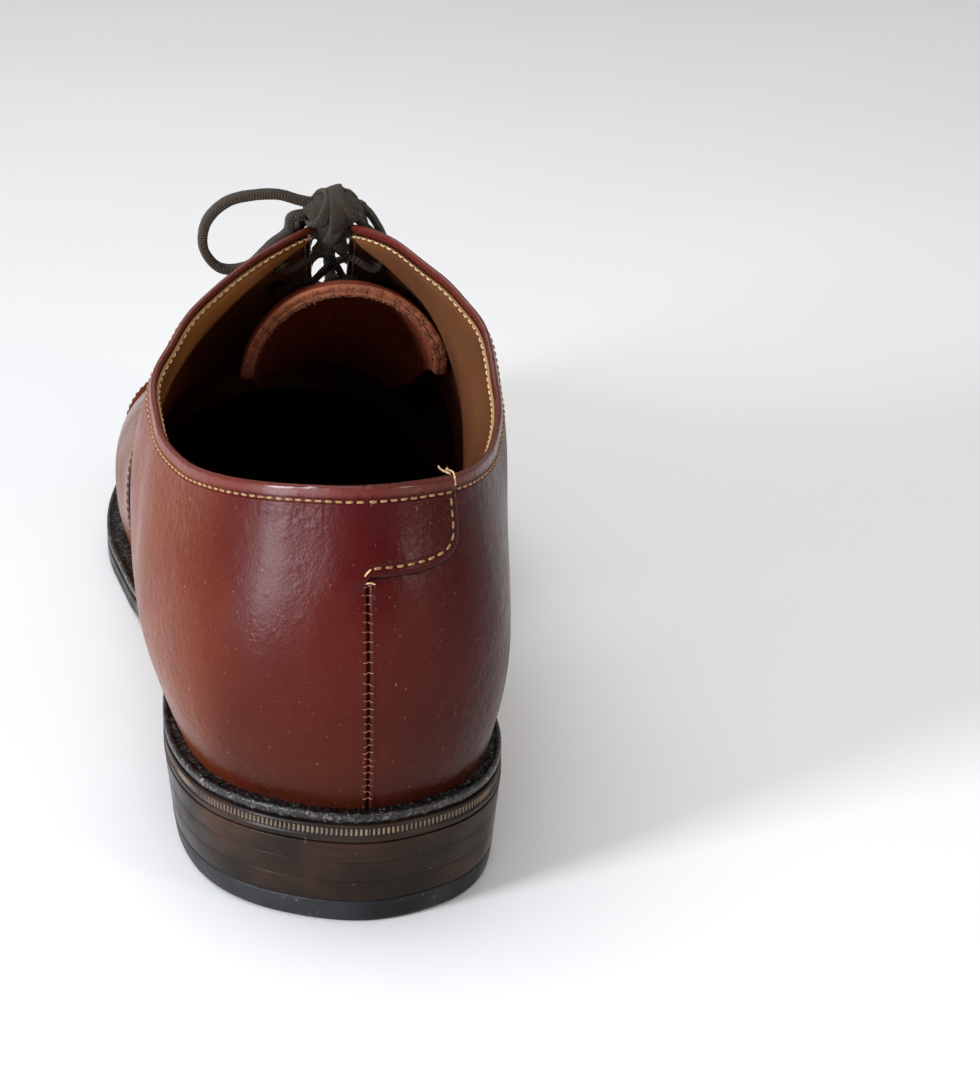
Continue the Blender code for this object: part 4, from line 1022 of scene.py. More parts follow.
def build_vamp():
    back = seam_front_s(np.minimum(ARCH_V, RIM_V)) + 0.02
    near = arch_uv(CAP_SEAM_S + 6, back, 96, grow=1.5)
    far = arch_uv(LENGTH, CAP_SEAM_S, 66, toe=True)

    def vamp_edge(u, v):
        return np.minimum(past_vamp_edge(u, v), np.abs(distance_on(u) - CAP_SEAM_S) + 0.3)

    values = {
        "edge": arch_values(near, vamp_edge),
        "row": arch_values(near, lambda u, v: double_row(past_vamp_edge(u, v), 1.6, 3.6)),
        "rim": arch_values(near, lambda u, v: np.full(u.shape, 40.0)),
        "dyed": arch_values(near, lambda u, v: 1 - smooth_step((past_vamp_edge(u, v) - 0.7) / 0.7)),
    }
    inner = arch_grid(near, lambda u, v: vamp_offset(u, v) - 1.3 + rounded(past_vamp_edge(u, v), 1.2))
    skin(
        "vamp_leather", arch_grid(near, vamp_offset), inner, LEATHER, values=values,
        slot="burnished_leather", replaces=["vamp"],
    )
    values = {
        "edge": arch_values(far, lambda u, v: distance_on(u) - CAP_SEAM_S),
        "row": arch_values(far, lambda u, v: double_row(distance_on(u) - CAP_SEAM_S, 1.6, 3.8)),
        "rim": arch_values(far, lambda u, v: np.full(u.shape, 40.0)),
    }
    inner = arch_grid(
        far, lambda u, v: cap_offset(u, v) - 1.25 + rounded(distance_on(u) - CAP_SEAM_S, 1.1)
    )
    skin(
        "toe_cap_leather", arch_grid(far, cap_offset), inner, LEATHER, closes=True, values=values,
        slot="burnished_leather", replaces=["toe_cap"],
    )
    whole = [
        np.concatenate([a, b[:, 1:]], axis=1)
        for a, b in zip(arch_uv(CAP_SEAM_S, back, 40), arch_uv(LENGTH, CAP_SEAM_S, 40, toe=True))
    ]
    values = {
        "edge": arch_values(whole, lambda u, v: past_vamp_edge(u, v) + 2),
        "row": arch_values(whole, lambda u, v: np.full(u.shape, 9.0)),
        "rim": arch_values(whole, lambda u, v: np.full(u.shape, 40.0)),
    }
    skin(
        "forepart_lining", arch_grid(whole, lambda u, v: LINING_LEATHER - stiffener_room(u, v)),
        arch_grid(whole, lambda u, v: -stiffener_room(u, v)), LINING, closes=True, values=values,
        slot="lining_leather", replaces=["vamp_lining"],
    )


# ---------------------------------------------------------------- stitches


def resample(points, spacing):
    """Rows a set distance apart, measured along their first three columns."""
    run = run_along(points)
    return rows_at(points, run, np.arange(spacing / 2, run[-1], spacing))


# Threads and stitches, in millimetres. Rows are distances in from an edge.
STITCH_PITCH = 2.1
STITCH_SHARE = 0.8
THREAD_RADIUS = 0.29
TOPLINE_ROW, INSIDE_ROW, LAP_ROW, FACING_ROW = 3.0, 2.1, 2.3, 19.0
VAMP_ROWS, CAP_ROWS = (1.6, 3.6), (1.6, 3.8)
SEAM_RUNGS = 27


def stitches(
    name, line, normals, pitch=STITCH_PITCH, radius=THREAD_RADIUS, lift=0.05, body="shoe",
    material=THREAD, slot="burnished_leather",
):
    """A row of separate stitches: each a short thread that dives into the leather at both ends."""
    rng = np.random.default_rng(len(name) * 7 + 1)
    places = resample(np.concatenate([line, normals], axis=1), pitch)
    ahead = unit(np.gradient(places[:, :3], axis=0))
    rings, sides = 7, 7
    points, faces = [], []
    for here, way in zip(places, ahead):
        up = unit(here[3:])
        across = unit(np.cross(up, way))
        way = unit(way + across * rng.normal(0, 0.05))
        across = np.cross(up, way)
        start = len(points)
        thick = radius * rng.uniform(0.88, 1.08)
        for k in range(rings):
            t = k / (rings - 1) * 2 - 1
            middle = here[:3] + way * t * pitch * STITCH_SHARE / 2 + up * (lift - 0.34 * t**4)
            r = thick * (1 - 0.55 * t**4)
            for m in range(sides):
                turn = 2 * math.pi * m / sides
                points.append(middle + across * r * math.cos(turn) + up * r * math.sin(turn) * 0.85)
        faces += tube(rings, sides, start)
    return make(name, np.array(points), faces, material, body=body, slot=slot)


def surface_line(u, v, offset):
    """Points and normals along a line on the upper."""
    u, v = np.broadcast_arrays(np.asarray(u, float), np.asarray(v, float))
    return skin_point(u, v, np.broadcast_to(offset, u.shape)), last_normal(u, v)


def down_from_rim(u, distance):
    """v at a distance below the top edge."""
    found = []
    levels = np.linspace(RIM_V, 0.36, 60)
    for each in np.atleast_1d(u):
        line = last_point(np.full(60, each), levels)
        found.append(np.interp(distance, run_along(line), levels))
    return np.array(found)


def inset_lap(distance):
    """u and v along a line inside the lap's free edge."""
    per_v = np.linalg.norm(last_point(0.0, 0.6) - last_point(0.0, 0.55)) / 0.05
    edge = np.stack([LAP_U / U_PER_MM, LAP_V * per_v], axis=1)
    ahead = unit(np.gradient(edge, axis=0))
    line = edge + np.stack([-ahead[:, 1], ahead[:, 0]], axis=1) * distance
    line = line[(line[:, 0] > 0.8) & (line[:, 1] < (RIM_V - 0.03) * per_v)]
    return line[:, 0] * U_PER_MM, line[:, 1] / per_v


def threads(name, routes, radius, material, slot="burnished_leather", sides=6):
    """Thin threads along routes of points, as one piece."""
    points, faces = [], []
    for route in routes:
        base = len(points)
        ahead = unit(np.gradient(route, axis=0))
        for k, (here, way) in enumerate(zip(route, ahead)):
            first = unit(np.cross(way, [0.31, -0.9, 0.3]))
            second = np.cross(way, first)
            thin = radius * (0.4 if k in (0, len(route) - 1) else 1.0)
            for m in range(sides):
                turn = 2 * math.pi * m / sides
                points.append(here + (first * math.cos(turn) + second * math.sin(turn)) * thin)
        faces += tube(len(route), sides, base)
    return make(name, np.array(points), faces, material, slot=slot)


def ladder_stitches():
    """The closed back seam's threads: short rungs across it, evenly up its height."""
    rng = np.random.default_rng(21)
    routes = []
    for v in np.linspace(0.03, TAB_BOTTOM_V - 0.015, SEAM_RUNGS):
        across = np.linspace(-1.3, 1.25, 9)
        dip = 0.55 * np.exp(-((across / 0.32) ** 2)) + 0.22 * (np.abs(across) / 1.3) ** 6
        slope = rng.normal(0, 0.0016)
        u = across * U_PER_MM * rng.uniform(0.8, 1.05)
        lift = UPPER_OUT + 0.1 - dip + 0.2 * np.exp(-(((across - 0.95) / 0.45) ** 2))
        routes.append(skin_point(u, v + slope * across, lift))
    threads("back_seam_rungs", routes, 0.13, SEAM_THREAD)


def loose_threads():
    """Thread ends left at the lap's top and bottom, through (across, v, outside, lift) places."""
    reach, top, low = TAB_WIDTH, RIM_V, TAB_BOTTOM_V
    routes = [
        [
            (reach - 1, top - 0.014, 4.2, 0), (reach - 0.6, top, 3.6, 0.5), (reach - 0.2, top, 2.2, 1),
            (reach + 0.6, top, 1.2, 0.7), (reach + 1.2, top, 0.6, 1.3),
        ],
        [
            (reach - 1.2, top, 3.2, 0.5), (reach - 1.3, top, 1.6, 0.9), (reach - 1.7, top, 0.6, 1.5),
            (reach - 1.9, top, 0.4, 2),
        ],
        [(reach + 0.2, top, 1.4, 0.9), (reach + 0.9, top, 0.8, 1.2), (reach + 1.3, top, 0.3, 0.6)],
        [(0.7, low + 0.02, 4, 0), (-0.2, low + 0.012, 4.1, 0), (-0.8, low + 0.002, 3.4, 0)],
        [(1.6, low - 0.012, 2.9, 0), (0.6, low - 0.008, 3.1, 0), (-1.2, low - 0.01, 2.9, 0)],
    ]
    paths = []
    for route in routes:
        across, v, outside, lift = np.array(route).T
        points = skin_point(across * U_PER_MM, v, outside)
        points[:, 2] += lift
        paths.append(smooth_path(points, 0.25))
    threads("loose_thread_ends", paths, 0.2, PALE_THREAD)


def build_stitches():
    """Every stitch row of the upper, and the threads at the back seam."""
    for side, label in ((-1, "lateral"), (1, "medial")):
        back = 0.2 if side < 0 else TAB_WIDTH + 1.0
        u = np.linspace(side * back * U_PER_MM, u_at(183, side), 260)
        v = down_from_rim(u, TOPLINE_ROW)
        line, normals = surface_line(u, v, UPPER_OUT + lap_raise(u, v) * (side < 0))
        stitches(f"topline_stitches_{label}", line, normals)
        u = np.linspace(side * 0.2 * U_PER_MM, u_at(183, side), 260)
        line, normals = surface_line(u, down_from_rim(u, INSIDE_ROW), 0.45)
        stitches(
            f"inside_stitches_{label}", line, -normals, radius=0.27, lift=0.1,
            material=PALE_THREAD, slot="lining_leather",
        )
    u = np.linspace(0.3, TAB_WIDTH - 1.5, 60) * U_PER_MM
    line, normals = surface_line(u, down_from_rim(u, TOPLINE_ROW), UPPER_OUT + SEAM_RAISE)
    stitches("topline_stitches_lap", line, normals)
    u, v = inset_lap(LAP_ROW)
    line, normals = surface_line(u, v, UPPER_OUT + SEAM_RAISE)
    stitches("lap_stitches", line, normals, 2.3)
    ladder_stitches()
    loose_threads()
    rise = np.linspace(0.03, 1, 120)
    v = np.concatenate([rise, rise[::-1]])
    for label, edge, rows, offset in (
        ("vamp", seam_front_s(np.minimum(v, RIM_V)), VAMP_ROWS, vamp_offset),
        ("toe_cap", np.full(240, CAP_SEAM_S), CAP_ROWS, cap_offset),
    ):
        for k, distance in enumerate(rows):
            s = edge + distance / 0.93
            u = np.concatenate([u_at(s[:120], -1), u_at(s[120:], 1)])
            stitches(
                f"{label}_stitches_{k + 1}", skin_point(u, v, offset(u, v)), last_normal(u, v), 2.0,
                material=DARK_THREAD,
            )
    for side, label in ((-1, "lateral"), (1, "medial")):
        u = u_at(np.linspace(112, 176, 60), side)
        line, normals = surface_line(u, down_from_rim(u, FACING_ROW), UPPER_OUT)
        stitches(f"facing_stitches_{label}", line, normals, material=DARK_THREAD)


# ---------------------------------------------------------------- sole and heel


def band_points(u, insets, levels):
    """Rows of points along the sole's edge, each at an inset from it and a height over sole_top."""
    edge = loop_point(SOLE_EDGE, u)
    normal = loop_point(EDGE_NORMAL, u)
    rows = []
    for inset, level in zip(insets, levels):
        xy = edge - normal * np.broadcast_to(inset, u.shape)[:, None]
        rows.append(plan_rows(xy, sole_top(xy[:, 1]) + level))
    return np.array(rows)


def plan_rows(xy, z):
    """Points from places on the sole's plan and their heights."""
    return np.stack([xy[:, 0], xy[:, 1] + BACK_Y, z], axis=1)


def welt_inset(u):
    """How far the upper's foot is in from the sole's edge."""
    return along(WELT_MARGIN, loop_point(SOLE_EDGE, u)[:, 1]) + 0.9


def build_welt():
    """Heel rand and welt: a fibrous top, a smooth rounded lip and a plain edge."""
    rng = np.random.default_rng(11)
    rand_end, welt_back = HEEL_LENGTH - 0.2, HEEL_LENGTH + 0.2
    spans = (
        ("heel_rand_strip", "heel_rand", u_at(rand_end, -1), u_at(rand_end, 1), 900),
        ("welt_strip", "welt", u_at(welt_back, -1), u_at(welt_back, 1) - 1, 1800),
    )
    for name, node, first, last, cols in spans:
        u = np.linspace(first, last, cols)
        inset = welt_inset(u)
        shares = [1.0, 0.8, 0.62, 0.46]
        insets = [inset * f for f in shares] + [1.25, 1.0, 0.6, 0.22, 0.02, 0.0, 0.05, 0.3, 0.45, inset]
        heights = [2.25, 2.3, 2.25, 2.2, 2.15, 2.42, 2.55, 2.45, 2.1, 1.7, 1.1, 0.75, 0.32, 0.32]
        levels = []
        for k, height in enumerate(heights):
            rough = rng.normal(0, 1, cols)
            rough = np.convolve(rough, [0.25, 0.5, 0.25], "same")
            levels.append(height + (0.28 if 0 < k < 4 else 0.14 if k in (0, 4) else 0.02) * rough)
        sections = band_points(u, insets, levels).transpose(1, 0, 2)
        faces = tube(cols, len(heights))
        make(name, sections.reshape(-1, 3), faces, WELT_TOP, slot="dark_sole_leather", replaces=[node])


def heel_outline(inset, count=900):
    """A D-shaped outline: the sole's edge round the heel and a straight, slightly hollow breast."""
    curve = SOLE_EDGE - EDGE_NORMAL * inset
    u_out, u_in = u_at(HEEL_LENGTH, -1), u_at(HEEL_LENGTH, 1)
    edge = loop_point(curve, np.linspace(u_out, u_in, count))
    left, right = edge[0], edge[-1]
    t = np.linspace(0, 1, 60)[1:-1]
    breast = right + (left - right) * t[:, None]
    breast[:, 1] -= 1.6 * np.sin(math.pi * t)
    return np.concatenate([edge, breast])


def heel_layer(name, node, profile, material, slot):
    """One layer of the heel: (inset, height) rows up its side, and flat faces above and below."""
    rings = []
    for inset, z in profile:
        outline = heel_outline(inset)
        rings.append(plan_rows(outline, np.full(len(outline), z)))
    faces = tube(len(rings), len(rings[0]))
    return make(name, np.concatenate(rings), faces, material, slot=slot, replaces=[node])


def build_heel():
    """Rubber top piece and the stack of lifts on it, each a little wider than the one below."""
    def taper(z):
        return HEEL_TAPER * (SEAT_Z - z) / SEAT_Z

    top = TOP_PIECE_THICKNESS
    profile = [
        (taper(0) + 1.1, 0.0), (taper(0) + 0.55, 0.12), (taper(0) + 0.2, 0.45), (taper(0), 1.0),
        (taper(2.5) + 0.04, 2.5), (taper(top) + 0.02, top - 0.5), (taper(top) + 0.12, top - 0.15),
        (taper(top) + 0.4, top),
    ]
    heel_layer("rubber_top_piece", "top_piece", profile, RUBBER, "top_piece_rubber")
    for k in range(LIFTS):
        low = TOP_PIECE_THICKNESS + GAP + k * (LIFT_THICKNESS + GAP) - 0.12
        high = low + LIFT_THICKNESS + 0.26
        profile = [
            (taper(low) + 0.05, low), (taper(low) + 0.01, low + 0.03), (taper(low), low + 0.1),
            (taper((low + high) / 2) + 0.02, (low + high) / 2), (taper(high), high - 0.1),
            (taper(high) + 0.01, high - 0.03), (taper(high) + 0.05, high),
        ]
        heel_layer(
            f"heel_lift_edge_{k + 1}", f"heel_lift_{k + 1}", profile, HEEL_EDGE, "dark_sole_leather"
        )


WHEEL_PITCH, WHEEL_DEPTH = 1.0, 0.3


def build_outsole():
    """Outsole with an inked edge: two pressed lines and wheel marks round the heel's part of it."""
    cols = 4200
    u = -np.arange(cols) / cols
    edge = loop_point(SOLE_EDGE, u)
    at_heel = smooth_step((HEEL_LENGTH + 30 - edge[:, 1]) / 6)
    phase = np.abs(np.mod(run_along(edge) / WHEEL_PITCH, 1) - 0.5) * 2
    tick = smooth_step((phase - 0.35) / 0.25) * WHEEL_DEPTH * at_heel
    zero = np.zeros(cols)
    rows = [
        (9.0, 3.98, zero), (0.5, 3.98, zero), (0.18, 3.9, zero), (0.03, 3.7, zero), (0.03, 3.62, zero),
        (0.22, 3.52, zero), (0.04, 3.42, zero), (0.02, 3.38, zero), (0.04, 3.28, tick * 0.6),
        (0.1, 3.05, tick), (0.1, 2.5, tick), (0.1, 1.95, tick), (0.04, 1.72, tick * 0.6),
        (0.02, 1.64, zero), (0.28, 1.54, zero), (0.02, 1.44, zero), (0.0, 1.1, zero), (0.02, 0.6, zero),
        (0.14, 0.2, zero), (0.42, 0.0, zero), (4.6, 0.0, zero), (5.0, 0.35, zero), (5.4, 0.0, zero),
        (9.0, 0.0, zero),
    ]
    edge_normal = loop_point(EDGE_NORMAL, u)
    grid = []
    for inset, level, wave in rows:
        xy = edge - edge_normal * (inset + wave)[:, None]
        grid.append(plan_rows(xy, sole_bottom(edge[:, 1]) + level))
    grid = np.array(grid)
    count = len(rows)
    faces = quads(count, cols, around=True)
    # Upper and lower faces: strips of quads across the sole, between matching points of its sides
    for ring in (0, count - 1):
        base = ring * cols
        for j in range(cols // 2):
            a, b = base + j, base + j + 1
            c, d = base + (cols - j - 1) % cols, base + (cols - j) % cols
            face = tuple(dict.fromkeys([a, b, c, d]))
            if len(face) > 2:
                faces.append(face)
    worn = np.zeros((count, cols))
    worn[9:12] = ((1 - tick / WHEEL_DEPTH) ** 3) * at_heel * 0.62
    piece = make(
        "outsole_leather_edge", grid.reshape(-1, 3), faces, [SOLE_EDGE_INK, SOLE_FACE],
        slot="outsole_leather", replaces=["outsole"], values={"worn": worn},
    )
    for polygon in piece.data.polygons:
        if polygon.normal.z < -0.9:
            polygon.material_index = 1


# ---------------------------------------------------------------- turned pieces


def lathe(name, profile, centre, axis, material, sides=40, **place):
    """A solid of revolution: a (radius, height) profile about an axis through a point."""
    axis = unit(axis)
    across = unit(np.cross(axis, [0.0, 1.0, 0.3]))
    third = np.cross(axis, across)
    turn = 2 * math.pi * np.arange(sides) / sides
    around = across * np.cos(turn)[:, None] + third * np.sin(turn)[:, None]
    grid = np.array([np.array(centre) + around * r + axis * h for r, h in profile])
    faces = quads(len(profile), sides, around=True)
    return make(name, grid.reshape(-1, 3), faces, material, **place)


# ---------------------------------------------------------------- laces

LACE_WIDTH, LACE_THICKNESS = 3.0, 1.5
# A lace tip's (radius, distance) profile
LACE_TIP = [
    (0.02, 0.0), (0.9, 0.05), (1.2, 0.3), (1.28, 0.9), (1.2, 1.5), (1.25, 3.0), (1.25, 8.0),
    (1.2, 8.5), (1.25, 9.0), (1.22, 15.5), (1.1, 17.0), (0.8, 17.8), (0.02, 18.0),
]


def lace_samples(rows, spacing):
    """Evenly spaced samples of a smooth curve through rows of (place, facing, squeeze)."""
    p = np.array(rows, float)
    chord = np.linalg.norm(np.diff(p[:, :3], axis=0), axis=1)
    slope = np.diff(p, axis=0) / chord[:, None]
    tangent = np.concatenate([
        slope[:1],
        (slope[:-1] * chord[1:, None] + slope[1:] * chord[:-1, None]) / (chord[:-1] + chord[1:])[:, None],
        slope[-1:],
    ])
    t = np.linspace(0, 1, 24, endpoint=False)[:, None]
    spans = []
    for i, h in enumerate(chord):
        spans.append(hermite(p[i], p[i + 1], h * tangent[i], h * tangent[i + 1], t))
    dense = np.concatenate(spans + [p[-1:]])
    run = run_along(dense)
    return rows_at(dense, run, np.linspace(0, run[-1], max(3, round(run[-1] / spacing) + 1)))


def lace_facing(path, hints):
    """The flat lace's normal along a path: it turns as little as it can, and towards its hints."""
    ahead = unit(np.gradient(path, axis=0))
    normal = unit(hints[0] - ahead[0] * np.dot(hints[0], ahead[0]))
    normals = []
    for way, hint in zip(ahead, hints):
        normal = unit(normal - way * np.dot(normal, way))
        level = hint - way * np.dot(hint, way)
        normal = unit(normal + 0.1 * math.copysign(1, np.dot(normal, level)) * level)
        normals.append(normal)
    return ahead, np.array(normals)


def ribbon(
    name, rows, spacing=0.5, width=LACE_WIDTH, thickness=LACE_THICKNESS, planar=False,
    bunch=-0.5, **place,
):
    """A flat woven lace along rows of (place, facing, squeeze); a squeeze under 1 bunches it up.

    With planar it bends in the plane that its route lies in. Returns the piece and its path.
    """
    samples = lace_samples(rows, spacing)
    path, hints, squeeze = samples[:, :3], samples[:, 3:6], samples[:, 6]
    if planar:
        flat = np.linalg.svd(path - path.mean(axis=0))[2][2]
        hints = np.cross(np.gradient(path, axis=0), flat)
    ahead, normals = lace_facing(path, hints)
    across = np.cross(normals, ahead)
    sides = 16
    turn = 2 * math.pi * (np.arange(sides) + 0.5) / sides
    x = np.sign(np.cos(turn)) * np.abs(np.cos(turn)) ** 0.55 * width / 2
    y = np.sign(np.sin(turn)) * np.abs(np.sin(turn)) ** 0.55 * thickness / 2
    run = np.arange(len(path)) * spacing
    ripple = 1 + 0.03 * np.sin(run * 1.3) + 0.02 * np.sin(run * 3.1 + 1)
    wide = (squeeze * ripple)[:, None, None]
    thick = (squeeze**bunch)[:, None, None]
    grid = path[:, None] + across[:, None] * x[:, None] * wide + normals[:, None] * y[:, None] * thick
    uv = np.stack(np.broadcast_arrays(x, run[:, None]), axis=-1)
    piece = make(
        name, grid.reshape(-1, 3), tube(len(path), sides), LACE, slot="waxed_lace",
        uv=uv.reshape(-1, 2), **place,
    )
    return piece, path


def facing_rows(points, facings, squeeze=1.0):
    """Rows for ribbon() from separate points and facings."""
    count = len(points)
    squeezes = np.broadcast_to(squeeze, count)
    facings = np.broadcast_to(facings, (count, 3))
    return [[*p, *f, q] for p, f, q in zip(points, facings, squeezes)]


def route_facing(point):
    """Which way a lace faces at a point: away from the instep below it."""
    s = point[1] - BACK_Y
    slope = (along(RIDGE_Z, s + 1) - along(RIDGE_Z, s - 1)) / 2
    lean = 0.45 * np.clip((point[0] - along(RIDGE_X, s)) / 12, -1, 1)
    return unit(unit([0.0, -slope, 1.0]) + np.array([lean, 0, 0]))


def build_lacing():
    """The held lace: crossing up the instep from a bar at the lowest eyelets to the knot."""
    (left, left_end), (right, right_end) = zigzag(-1, 5.6, 3.8), zigzag(1, 4.2, 1.1)
    bar = [gap_point(THROAT_S - 8, x_off, -2.4) for x_off in (-5, 0, 5)]
    tail_left, tail_right = (np.array([2.0 + end * 6.2, -31.0, 117.0]) for end in (left_end, right_end))
    route = [tail_left] + left[::-1] + bar + right + [tail_right]
    holes = [
        skin_point(*eyelet_place(side, number), 2.0)
        for side in (-1, 1)
        for number in range(EYELETS_PER_SIDE)
    ]
    rows = []
    for point in route:
        from_hole = min(np.linalg.norm(point - hole) for hole in holes)
        rows.append([*point, *route_facing(point), 0.52 + 0.34 * smooth_step((from_hole - 2) / 4)])
    ribbon("lacing_ribbon", rows, spacing=0.5, replaces=["lace_lacing"])


def build_free_laces():
    """The bow's two loops and two ends, and what is on their far ends."""
    for name, points in free_lace().items():
        points = np.array(points, float)
        label = name.rsplit("_", 1)[1]
        if "loop" in name:
            # Both its ends go on into the knot
            into = 3.2 if label == "lateral" else -2.6
            points = np.concatenate([
                points[:1] + [[into, 0.3, -0.9]], points, points[-1:] + [[into, -0.6, 1.0]],
            ])
            last = len(points) - 1
            squeeze = np.interp(np.arange(last + 1), [0, 1.5, last - 1.5, last], [0.7, 1, 1, 0.7])
            flat = label == "medial"
            facings = [unit(route_facing(p) + np.array([0.9 * flat, 0, 0])) for p in points]
            piece, path = ribbon(
                f"bow_loop_{label}", facing_rows(points, facings, squeeze),
                thickness=LACE_THICKNESS if flat else 2.1, planar=not flat, replaces=[name],
            )
        else:
            facings = [route_facing(p) for p in points]
            if label == "lateral":
                facings = [unit(f + np.array([-0.6, 0, 0])) for f in facings]
            last = len(points) - 1
            squeeze = np.interp(np.arange(last + 1), [0, 1, last - 0.4, last], [0.7, 1, 0.9, 0.62])
            rows = facing_rows(points, facings, squeeze)
            piece, path = ribbon(f"free_end_{label}", rows, replaces=[name])
            ahead = unit(points[-1] - points[-2])
            others = [lathe(
                f"lace_tip_{label}", LACE_TIP, points[-1], ahead, AGLET, 24,
                slot="aglet_plastic", replaces=[f"aglet_{label}"],
            )]


def knot_turn(name, centre, radii, axis, shift, drift, width, span=165):
    """A turn of lace round the knot: about an axis, drifting along it as it goes round."""
    axis = unit(axis)
    high = np.array([0.0, 0.25, 1.0])
    up = unit(high - axis * np.dot(high, axis))
    back = np.cross(up, axis)
    if back[1] > 0:
        back = -back
    rows = []
    for degrees in range(-span, span + 1, 15):
        a = math.radians(degrees)
        out = back * math.cos(a) + up * math.sin(a)
        reach = back * math.cos(a) * radii[0] + up * math.sin(a) * radii[1]
        rows.append([*(centre + reach + axis * (shift + drift * math.sin(a + 0.6))), *out, 1.0])
    ribbon(name, rows, 0.4, width, 1.3)


def knot_part(name, centre, facing, places, width, thickness, **more):
    """A bunched piece of lace in the knot, through (x, y, z, squeeze) places about its centre."""
    rows = [[*(centre + np.array(place[:3])), *facing, place[3]] for place in places]
    ribbon(name, rows, 0.4, width, thickness, bunch=1.0, **more)


def build_knot():
    """The bow's knot: a bunched middle, turns of lace over it that cross, and what is below it."""
    centre = np.array(KNOT_CENTRE) + np.array([0.9, 0.0, -2.1])
    middle = [
        (-6.4, 0, 1.0, 0.3), (-4.6, 0, 0.8, 0.62), (-2.4, 0, 0.2, 0.9), (0, 0, -0.3, 1.0),
        (2.6, 0, 0.1, 0.95), (4.8, 0.3, -0.2, 0.7), (6.6, 0.8, -0.8, 0.35),
    ]
    knot_part("knot_middle", centre, (0.0, -0.3, 1.0), middle, 8.2, 7.6, replaces=["lace_knot"])
    knot_turn("knot_turn_over", centre, (4.6, 4.7), (1, 0, 0.35), 0.5, 1.9, 3.7)
    knot_turn("knot_turn_left", centre, (4.1, 4.0), (1, 0.2, -0.3), -2.6, 0.8, 3.2)
    knot_turn("knot_turn_right", centre, (4.0, 3.8), (1, -0.1, 0.55), 3.4, -0.9, 3.2)
    below = centre + np.array([0.4, 0.6, -4.2])
    knot_turn("knot_turn_under", below, (3.2, 3.4), (1, 0, -0.25), 0.0, 1.0, 3.0)
    tail = [
        (1.0, -1.4, -1.5, 1.0), (1.1, -0.9, -4.5, 1.0), (1.6, 0.2, -7.5, 0.8), (3.6, 2.2, -10.0, 0.5),
    ]
    for side, label in ((-1, "lateral"), (1, "medial")):
        places = [(x * side, y, z, q) for x, y, z, q in tail]
        knot_part(f"knot_tail_{label}", centre, (0.15 * side, -1.0, 0.2), places, 4.6, 2.2)
    crossing = [
        (-5.0, 0.8, -3.9, 0.8), (-2.4, 0.0, -4.9, 1.0), (2.4, 0.0, -4.9, 1.0), (5.0, 0.8, -3.9, 0.8),
    ]
    knot_part("knot_crossing", centre, (0.0, -1.0, 0.3), crossing, 3.6, 2.0)


# ---------------------------------------------------------------- tongue

TONGUE_FIBRES = 4200


def tongue_end(across):
    """Where the tongue's free end lies along the shoe: rounded off at its two corners."""
    return TONGUE_START_S + 9 * np.abs(across) ** 6


def tongue_fibres():
    """Short fibres that stand out all along the tongue's cut edge, and a few long ones."""
    rng = np.random.default_rng(5)
    points, faces = [], []
    for _ in range(TONGUE_FIBRES):
        a = rng.uniform(-0.98, 0.98)
        root = tongue_point(a, tongue_end(a) + 0.15, rng.uniform(0.5, 2.9))
        way = unit([rng.normal(0, 0.9), -0.8, rng.normal(0, 0.9) - 0.3])
        bend = rng.normal(0, 0.12, 3)
        length = rng.uniform(0.25, 0.6) ** 1.2 + 0.9 * (rng.random() < 0.04)
        thick = rng.uniform(0.06, 0.13)
        ring = [unit(np.cross(way, axis)) for axis in ((1, 0, 0.2), (-0.4, 0.2, 1), (0, 0.3, -1))]
        base = len(points)
        for grown in (0.0, 0.5):
            middle = root + way * length * grown + bend * grown**2
            points += [middle + r * thick * (1 - grown * 0.5) for r in ring]
        points.append(root + way * length + bend)
        for k in range(3):
            m = (k + 1) % 3
            faces.append((base + k, base + m, base + 3 + m, base + 3 + k))
            faces.append((base + 3 + k, base + 3 + m, base + 6))
        faces.append((base + 2, base + 1, base))
    make("tongue_edge_fibres", np.array(points), faces, RAW_EDGE, body="tongue", slot="tongue_leather")


def build_tongue():
    """Tongue and its lining, with a raw free end whose fibres stand out."""
    rows, cols = 91, 120
    across = np.linspace(-1, 1, rows)[:, None] * np.ones(cols)
    start = tongue_end(across)
    share = np.linspace(0, 1, cols)
    share = share * (0.3 + 0.7 * share)
    s = start + (TONGUE_END_S - start) * share
    side = (1 - np.abs(across)) * along(TONGUE_HALF_WIDTH, s) * 1.25
    edge = np.minimum(s - start, side)
    ragged = 0.16 * np.sin(across * 61) + 0.12 * np.sin(across * 143 + 2)
    s = s + ragged * np.clip(1 - (s - start) / 2, 0, 1)
    for name, node, out, low, material, slot in (
        ("tongue_leather_skin", "tongue", 0.0, 1.58, TONGUE_TOP, "tongue_leather"),
        ("tongue_underside", "tongue_lining", 1.6, 2.6, TONGUE_UNDER, "lining_leather"),
    ):
        grids = []
        for inside in (out, low):
            soft = rounded(edge, 0.5) * {0.0: 1, 2.6: -1}.get(inside, 0)
            wrinkle = 0.18 * np.sin(s * 0.7 + across * 3) * np.sin(across * 7 + 1)
            grids.append(tongue_point(across, s, inside + wrinkle + soft * 0.6))
        skin(
            name, *grids, material, body="tongue", slot=slot, replaces=[node],
            values={"edge": edge, "row": np.full(edge.shape, 9.0), "rim": edge},
        )
    tongue_fibres()
    a = np.linspace(-0.9, 0.9, 120)
    line, deeper = (tongue_point(a, tongue_end(a) + 5.5, inside) for inside in (2.62, 6.0))
    stitches(
        "tongue_stitches", line, deeper - line, 2.2, 0.18, 0.02, body="tongue",
        material=DARK_THREAD, slot="lining_leather",
    )


# ---------------------------------------------------------------- nails, eyelets and inner parts


